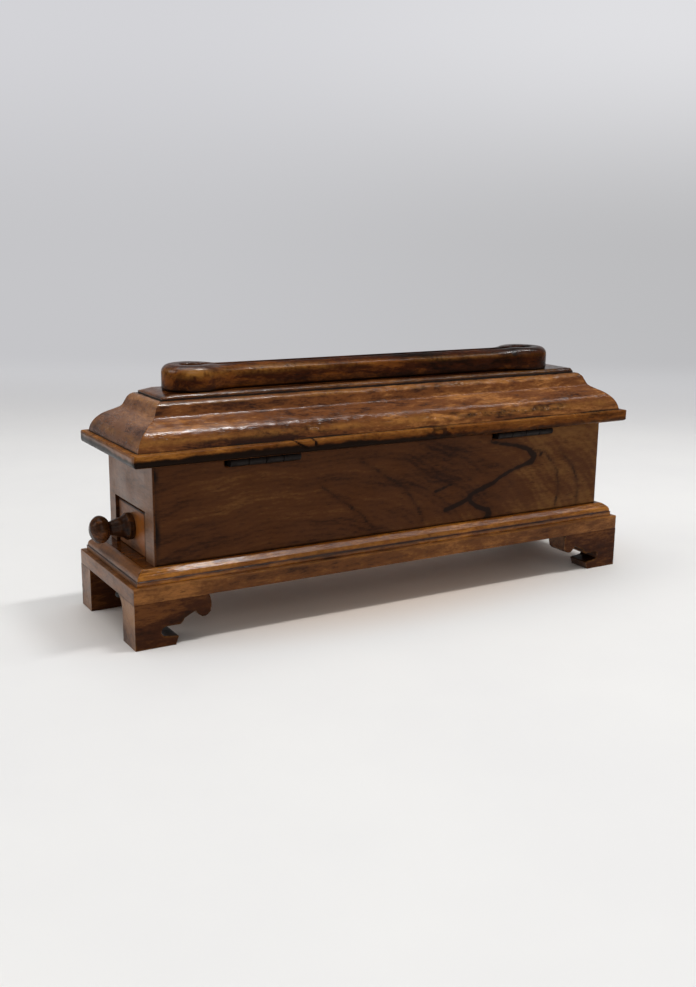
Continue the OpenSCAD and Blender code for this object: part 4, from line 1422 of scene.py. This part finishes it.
@dataclass
class Studio:
    """Floor, backdrop, lamps and camera. Lengths are in metres and angles in radians."""

    heading: float = 0.5329
    tilt: float = -0.2323
    roll: float = 0.0117
    eye: tuple[float, float, float] = (-0.31894, -0.52089, 0.19600)
    lens: float = 41.31
    sensor: float = 36.0
    floor_reach: float = 6.0
    wall_place: float = 1.6
    wall_round: float = 0.5
    wall_height: float = 3.5
    wall_facets: int = 24
    room_colour: Colour = (0.475, 0.455, 0.435)
    room_strength: float = 0.6
    softboxes: tuple[Softbox, ...] = (
        Softbox("lamp_overhead", (-0.1, 0.3, 2.6), (0.0, 0.1, 0.0), 2.4, 31.0),
        Softbox("lamp_strip_near", (0.1, -0.28, 1.5), (0.1, -0.28, 0.0), 0.32, 1.6, 0.06),
        Softbox("lamp_strip", (0.42, -0.285, 1.5), (0.42, -0.285, 0.0), 0.3, 6.0, 0.12),
        Softbox("lamp_strip_far", (1.05, -0.24, 1.5), (1.05, -0.24, 0.0), 0.9, 2.4, 0.06),
        Softbox("lamp_left", (-1.8, 0.5, 0.9), (0.0, 0.0, 0.05), 1.0, 7.0),
        Softbox("lamp_front", (-0.6, -1.8, 1.0), (0.0, 0.0, 0.05), 1.2, 4.5),
    )

    def sweep(self) -> None:
        """Makes the floor, which curves up into a wall behind the box."""
        form = bmesh.new()
        start = form.verts.new((-self.floor_reach, -self.floor_reach, 0.0))
        edge_at = form.verts.new((-self.floor_reach, self.wall_place, 0.0))
        form.edges.new((start, edge_at))
        bend = bmesh.ops.spin(form, geom=[edge_at], cent=(0.0, self.wall_place, self.wall_round),
                              axis=(1.0, 0.0, 0.0), angle=math.pi / 2, steps=self.wall_facets)
        last = [g for g in bend["geom_last"] if isinstance(g, bmesh.types.BMVert)][0]
        top = form.verts.new(last.co + Vector((0.0, 0.0, self.wall_height)))
        form.edges.new((last, top))
        run = bmesh.ops.extrude_edge_only(form, edges=form.edges[:])
        moved = [g for g in run["geom"] if isinstance(g, bmesh.types.BMVert)]
        bmesh.ops.translate(form, vec=(2 * self.floor_reach, 0.0, 0.0), verts=moved)
        bmesh.ops.rotate(form, verts=form.verts, cent=(0.0, 0.0, 0.0),
                         matrix=Matrix.Rotation(-self.heading, 3, "Z"))
        bmesh.ops.recalc_face_normals(form, faces=form.faces)
        mesh = bpy.data.meshes.new("studio_sweep")
        form.to_mesh(mesh)
        form.free()
        mesh.shade_smooth()
        mesh.materials.append(self.sweep_finish())
        sweep = bpy.data.objects.new("studio_sweep", mesh)
        bpy.context.scene.collection.objects.link(sweep)

    def sweep_finish(self) -> bpy.types.Material:
        """Returns the pale finish of the floor and wall.

        The camera sees the far floor and the wall as emission, in painted light graded by height and side,
        which the lamps don't reach.
        """
        graph = Graph("studio_paper")
        place = graph.add("TexCoord").outputs["Object"]
        ahead = (math.sin(self.heading), math.cos(self.heading), 0.0)
        across = (math.cos(self.heading), -math.sin(self.heading), 0.0)
        depth = graph.vector_math("DOT_PRODUCT", place, ahead).outputs["Value"]
        aside = graph.vector_math("DOT_PRODUCT", place, across).outputs["Value"]
        height = graph.add("SeparateXYZ", {0: place}).outputs[2]
        cloud = graph.band(graph.pattern(place, PAPER_CLOUD), 0.3, 0.7)
        # Painted light falloff: the floor's colour greys with distance ahead.
        near = graph.mix(graph.band(depth, 0.2, 0.9), graph.mix(cloud, FLOOR_DULL, FLOOR_BRIGHT), FLOOR_FAR)
        # Painted bounce light: a warm tint on the floor round and under the box.
        reach = graph.vector_math("MULTIPLY", place, (6.2, 15.0, 0.0)).outputs[0]
        under = graph.vector_math("LENGTH", reach).outputs["Value"]
        warm = graph.math("SUBTRACT", 1.0, graph.band(under, 0.35, 1.3))
        near = graph.mix(warm, near, FLOOR_BOUNCE_LIGHT)
        paper = {"Base Color": near, "Roughness": 0.6, "Specular IOR Level": 0.2}
        shader = graph.add("BsdfPrincipled", paper)
        side = graph.band(aside, -0.6, 0.8)
        low, high = (graph.mix(side, left, right) for left, right in (WALL_LOW, WALL_HIGH))
        far = graph.mix(graph.band(height, 0.14, 0.66), low, high)
        rise = graph.mix(graph.band(depth, 0.62, 1.15), FLOOR_EDGE, far)
        glow = graph.add("Emission", {"Color": rise})
        seen = graph.add("LightPath").outputs["Is Camera Ray"]
        share = graph.math("MULTIPLY", seen, graph.band(depth, 0.45, 0.95))
        both = graph.add("MixShader", {0: share, 1: shader.outputs[0], 2: glow.outputs[0]})
        return graph.finish(both)

    def lamps(self) -> None:
        """Hangs the softboxes and sets the light of the room."""
        for box in self.softboxes:
            light = bpy.data.lights.new(box.name, "AREA")
            light.shape = "RECTANGLE"
            light.size = box.width
            light.size_y = box.depth or box.width
            light.energy = box.power
            lamp = bpy.data.objects.new(box.name, light)
            lamp.location = box.place
            lamp.rotation_mode = "QUATERNION"
            if box.aim[:2] != box.place[:2]:
                lamp.rotation_quaternion = (Vector(box.aim) - Vector(box.place)).to_track_quat("-Z", "Y")
            bpy.context.scene.collection.objects.link(lamp)
        world = bpy.data.worlds.new("studio_room")
        bpy.context.scene.world = world
        world.use_nodes = True
        background = world.node_tree.nodes["Background"].inputs
        background["Color"].default_value = rgba(self.room_colour)
        background["Strength"].default_value = self.room_strength

    def camera(self) -> None:
        """Sets up the camera."""
        ahead = Vector((math.sin(self.heading) * math.cos(self.tilt),
                        math.cos(self.heading) * math.cos(self.tilt), math.sin(self.tilt)))
        right = Vector((math.cos(self.heading), -math.sin(self.heading), 0.0))
        up = right.cross(ahead)
        level = Matrix((right, up, -ahead)).transposed()
        data = bpy.data.cameras.new("camera")
        data.sensor_fit = "VERTICAL"
        data.sensor_width = data.sensor_height = self.sensor
        data.lens = self.lens
        data.clip_start = 0.01
        eye = bpy.data.objects.new("camera", data)
        turned = level @ Matrix.Rotation(self.roll, 3, "Z")
        eye.matrix_world = Matrix.Translation(self.eye) @ turned.to_4x4()
        bpy.context.scene.collection.objects.link(eye)
        bpy.context.scene.camera = eye

    def build(self) -> None:
        """Makes the studio."""
        self.sweep()
        self.lamps()
        self.camera()
        bpy.context.scene.view_settings.view_transform = "Standard"


def main() -> None:
    """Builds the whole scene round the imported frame."""
    logging.basicConfig(level=logging.INFO, format="%(name)s: %(message)s")
    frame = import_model()
    nodes = frame["nodes"]
    Studio().build()
    for part in (Plinth(nodes), Carcase(nodes), Drawer(nodes), Lid(nodes), Hinges(nodes)):
        part.build()


if __name__ == "__main__":
    main()
